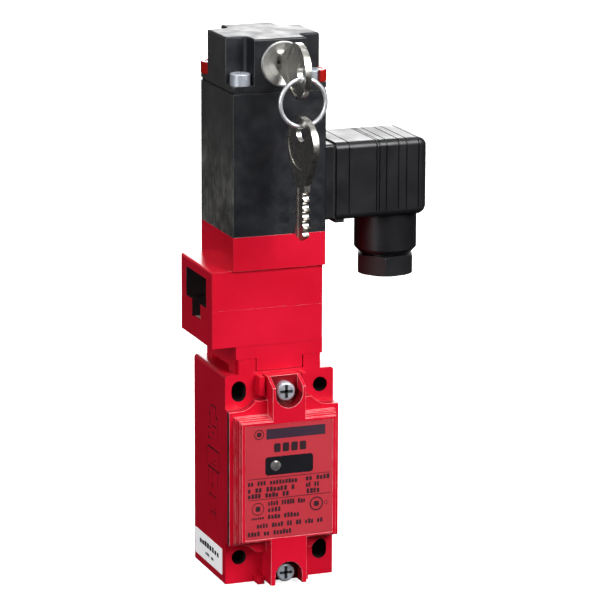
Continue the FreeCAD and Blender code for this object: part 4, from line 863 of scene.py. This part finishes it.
BIG_LOW, BIG_HIGH, BIG_WIDE = 9.95, 13.1, 2.4
big_boxes = [(x, x + BIG_WIDE, BIG_LOW, BIG_HIGH) for x in (-5.6, -2.45, 0.7, 3.85)]
marks(on_front(big_boxes), "bold_print", ink, "label")
RULE_T = 0.22                        # width of a rule
rule_boxes = [(-15.3, 15.3, z, z + RULE_T) for z in (0.75, -6.75)]
marks(on_front(rule_boxes), "rules", ink, "label")
BANNER, BANNER_CORNER = (-8.4, 13.3, 14.8, 18.4), 0.15
rounded_sheet(*on_front([BANNER])[0], BANNER_CORNER, AXIS_Y, "banner", banner_ink, "label")
print("marks:", len(small_boxes) + len(big_boxes) + len(rule_boxes))

# %% [markdown]
# Four plain rings of ink stand for round marks, and three of them have a plain dot.

# %% Plain rings
RINGS = [(-11.1, 16.7, 1.8, 0.3, 0.8), (-11.5, -10.0, 2.3, 0.3, 0.9), (10.1, -10.1, 2.5, 0.45, 0.9),
         (13.7, -10.0, 0.7, 0.15, 0.0)]


def printed_ring(name, x, z, radius, line, core):
    """A flat ring of ink: a disc, opened by the width of its line, and its dot if it has one."""
    middle = (x * MM, (INK_Y + (INK_SUNK - INK_T) / 2) * MM, z * MM)
    deselect_all()
    bpy.ops.mesh.primitive_cylinder_add(vertices=64, radius=radius * MM, depth=(INK_T + INK_SUNK) * MM,
                                        location=middle, rotation=(math.pi / 2, 0, 0))
    bpy.ops.object.transform_apply(location=True, rotation=True, scale=True)
    ring = bpy.context.object
    bpy.ops.object.mode_set(mode="EDIT")
    bpy.ops.mesh.select_all(action="DESELECT")
    mesh = bmesh.from_edit_mesh(ring.data)
    for face in mesh.faces:
        face.select = abs(face.normal.y) > 0.9
    bmesh.update_edit_mesh(ring.data)
    bpy.ops.mesh.inset(thickness=line * MM, depth=0)
    bpy.ops.mesh.bridge_edge_loops()
    bpy.ops.object.mode_set(mode="OBJECT")
    if core:
        dot = marks(on_front([(x - core, x + core, z - core, z + core)]), name + "_dot", ink, "label")
        bevel_where(dot, lambda edge: along(edge, AXIS_Y), core / 2, 3)
    finish_piece(ring, name, "body", "label", ink)


for number, ring in enumerate(RINGS, start=1):
    printed_ring("ring_mark_" + str(number), *ring)
print("ring marks:", len(RINGS))

# %% [markdown]
# ## The printed side
# A wiring sketch is printed up the left wall in thin lines, and a small paper sticker is stuck
# low down. The sketch is lines, ticks and dots only, and the sticker carries rows of the same
# wordless marks. The paper is given a little glow, painted light that keeps it far brighter than the
# wall in shade.

# %% Wiring sketch
side_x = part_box("housing")[0].x / MM
LINE, DOT = 0.28, 0.55               # width of an upright line, and half the width of a dot
UPRIGHTS = [(-17.8, 14.7, 21.6), (-24.1, 18.6, 21.9), (-16.6, 9.1, 11.6), (-21.2, 9.6, 11.6),
            (-26.0, 9.7, 18.2), (-14.7, -0.9, 6.4), (-27.6, -0.9, 6.4), (-16.5, -6.8, -1.1),
            (-20.7, -4.4, -1.1), (-25.9, -6.9, -1.1), (-20.6, -8.4, -5.6), (-18.7, -18.5, -15.0),
            (-23.8, -18.6, -14.5), (-21.2, -18.0, -15.6)]
LEVELS = [(22.0, -24.1, -19.0, 0.5), (14.8, -24.4, -20.0, 0.5), (13.3, -18.4, -15.9, 0.5),
          (12.2, -22.6, -19.8, 0.4), (9.6, -19.0, -15.6, 0.4), (6.4, -27.7, -15.6, 0.65),
          (-0.9, -27.7, -15.6, 0.65), (0.8, -24.4, -17.9, 0.3), (2.6, -24.4, -21.6, 0.3),
          (-10.8, -24.0, -17.8, 0.4), (-16.7, -23.8, -18.7, 0.3)]
DOTS = [(-17.8, 18.4), (-24.9, 18.4), (-17.8, -10.8), (-20.6, -7.0)]


def on_side(rows, proud=INK_T, sunk=INK_SUNK):
    """Boxes of ink on the left wall, from their sides, foot and top."""
    return [((side_x - proud, y0, z0), (side_x + sunk, y1, z1)) for y0, y1, z0, z1 in rows]


sketch = on_side([(y - LINE / 2, y + LINE / 2, z0, z1) for y, z0, z1 in UPRIGHTS])
sketch += on_side([(y0, y1, z - wide / 2, z + wide / 2) for z, y0, y1, wide in LEVELS])
sketch += on_side([(y - DOT, y + DOT, z - DOT, z + DOT) for y, z in DOTS])
sketch_ink = satin_film("sketch_ink", (0.060, 0.006, 0.010), 0.45)
marks(sketch, "wiring_sketch", sketch_ink, "label")
print("sketch lines:", len(sketch))

# %% Paper sticker
STICKER_T, STICKER_CORNER, STICKER_PAINTED_GLOW = 0.06, 0.5, 0.32
STICKER_LOW = (side_x - STICKER_T, -30.7, -37.0)
STICKER_HIGH = (side_x + INK_SUNK, -1.6, -27.5)
STICKER_INK_BACK = 0.01 - STICKER_T  # the ink starts just inside the paper
sticker_paper = satin_film("sticker_paper", (0.88, 0.88, 0.90), 0.5)
sticker_shader = sticker_paper.node_tree.nodes["Principled BSDF"]
# Painted light: the paper glows, though it is no lamp.
sticker_shader.inputs["Emission Color"].default_value = (0.97, 0.98, 1.0, 1)
sticker_shader.inputs["Emission Strength"].default_value = STICKER_PAINTED_GLOW
rounded_sheet(STICKER_LOW, STICKER_HIGH, STICKER_CORNER, AXIS_X, "blank_sticker", sticker_paper, "label")
sticker_rows = word_boxes(-27.0, -6.2, -31.9, 2.0, (8,), draw)
sticker_rows += word_boxes(-21.5, -12.5, -34.8, 1.2, (2, 3), draw)
marks(on_side(sticker_rows, STICKER_T + INK_T, STICKER_INK_BACK), "sticker_print", ink, "label")
print("sticker marks:", len(sticker_rows))

# %% [markdown]
# ## Split ring
# The keys hang on a ring of spring wire whose two ends overlap for nearly a fifth of a turn. A circle
# is spun round the ring's axis, once for the whole loop and once for the stretch that overlaps.

# %% Split ring
ring_low, ring_high = (Vector(c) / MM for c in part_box("key_ring"))
ring_middle = (ring_low + ring_high) / 2
LOOP_INSET = 0.80                    # from the outside of the ring to the middle of the wire
LOOP_WIRE, LOOP_R = 0.72, (ring_high.x - ring_low.x) / 2 - LOOP_INSET
LAP_WIRE, LAP_FROM, LAP_TURN = 0.62, math.radians(12), math.radians(66)
LAP_IN, LAP_FORWARD = 0.15, -0.25    # the overlapping end lies inside the loop and in front of it
LOOP_STEPS, LAP_STEPS = 96, 24


def wire_arc(radius, wire, start, turn, shift, steps):
    """A circle of wire spun about the ring's axis; a full turn closes on itself."""
    deselect_all()
    at = ring_middle + Vector((radius * math.cos(start), shift, -radius * math.sin(start)))
    bpy.ops.mesh.primitive_circle_add(vertices=20, radius=wire * MM, fill_type="NGON", location=at * MM)
    arc = bpy.context.object
    arc.rotation_euler = (0, start, 0)
    bpy.ops.object.transform_apply(location=True, rotation=True, scale=True)
    full = turn > 2 * math.pi - 0.01
    bpy.ops.object.mode_set(mode="EDIT")
    bpy.ops.mesh.select_all(action="SELECT")
    if full:
        bpy.ops.mesh.delete(type="ONLY_FACE")
        bpy.ops.mesh.select_all(action="SELECT")
    bpy.ops.mesh.spin(steps=steps, angle=turn, center=ring_middle * MM, axis=(0, 1, 0))
    bpy.ops.mesh.select_all(action="SELECT")
    bpy.ops.mesh.remove_doubles(threshold=1e-6)
    bpy.ops.mesh.normals_make_consistent(inside=False)
    bpy.ops.object.mode_set(mode="OBJECT")
    return arc


loop = wire_arc(LOOP_R, LOOP_WIRE, 0, 2 * math.pi, 0.0, LOOP_STEPS)
lap = wire_arc(LOOP_R - LAP_IN, LAP_WIRE, LAP_FROM, LAP_TURN, LAP_FORWARD, LAP_STEPS)
select_only(loop)
lap.select_set(True)
bpy.ops.object.join()
smooth_by_angle(loop, 40)
finish_piece(loop, "split_ring", "ring", "nickel", ring_wire)
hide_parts("key_ring")
print("split ring:", len(loop.data.polygons), "faces")

# %% [markdown]
# ## Return spring of the armature
# The spring is clamped between the pole piece above it and the armature that rises when the
# lock is turned. A solid coil cannot get shorter. A merged copy of it, smoothly shaded and with a
# mesh of its own, takes its place.

# %% Armature spring
coil = merged_copy("armature_spring")
smooth_by_angle(coil, 40)
finish_piece(coil, "armature_coil", "body", "spring_steel")
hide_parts("armature_spring")
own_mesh(coil)
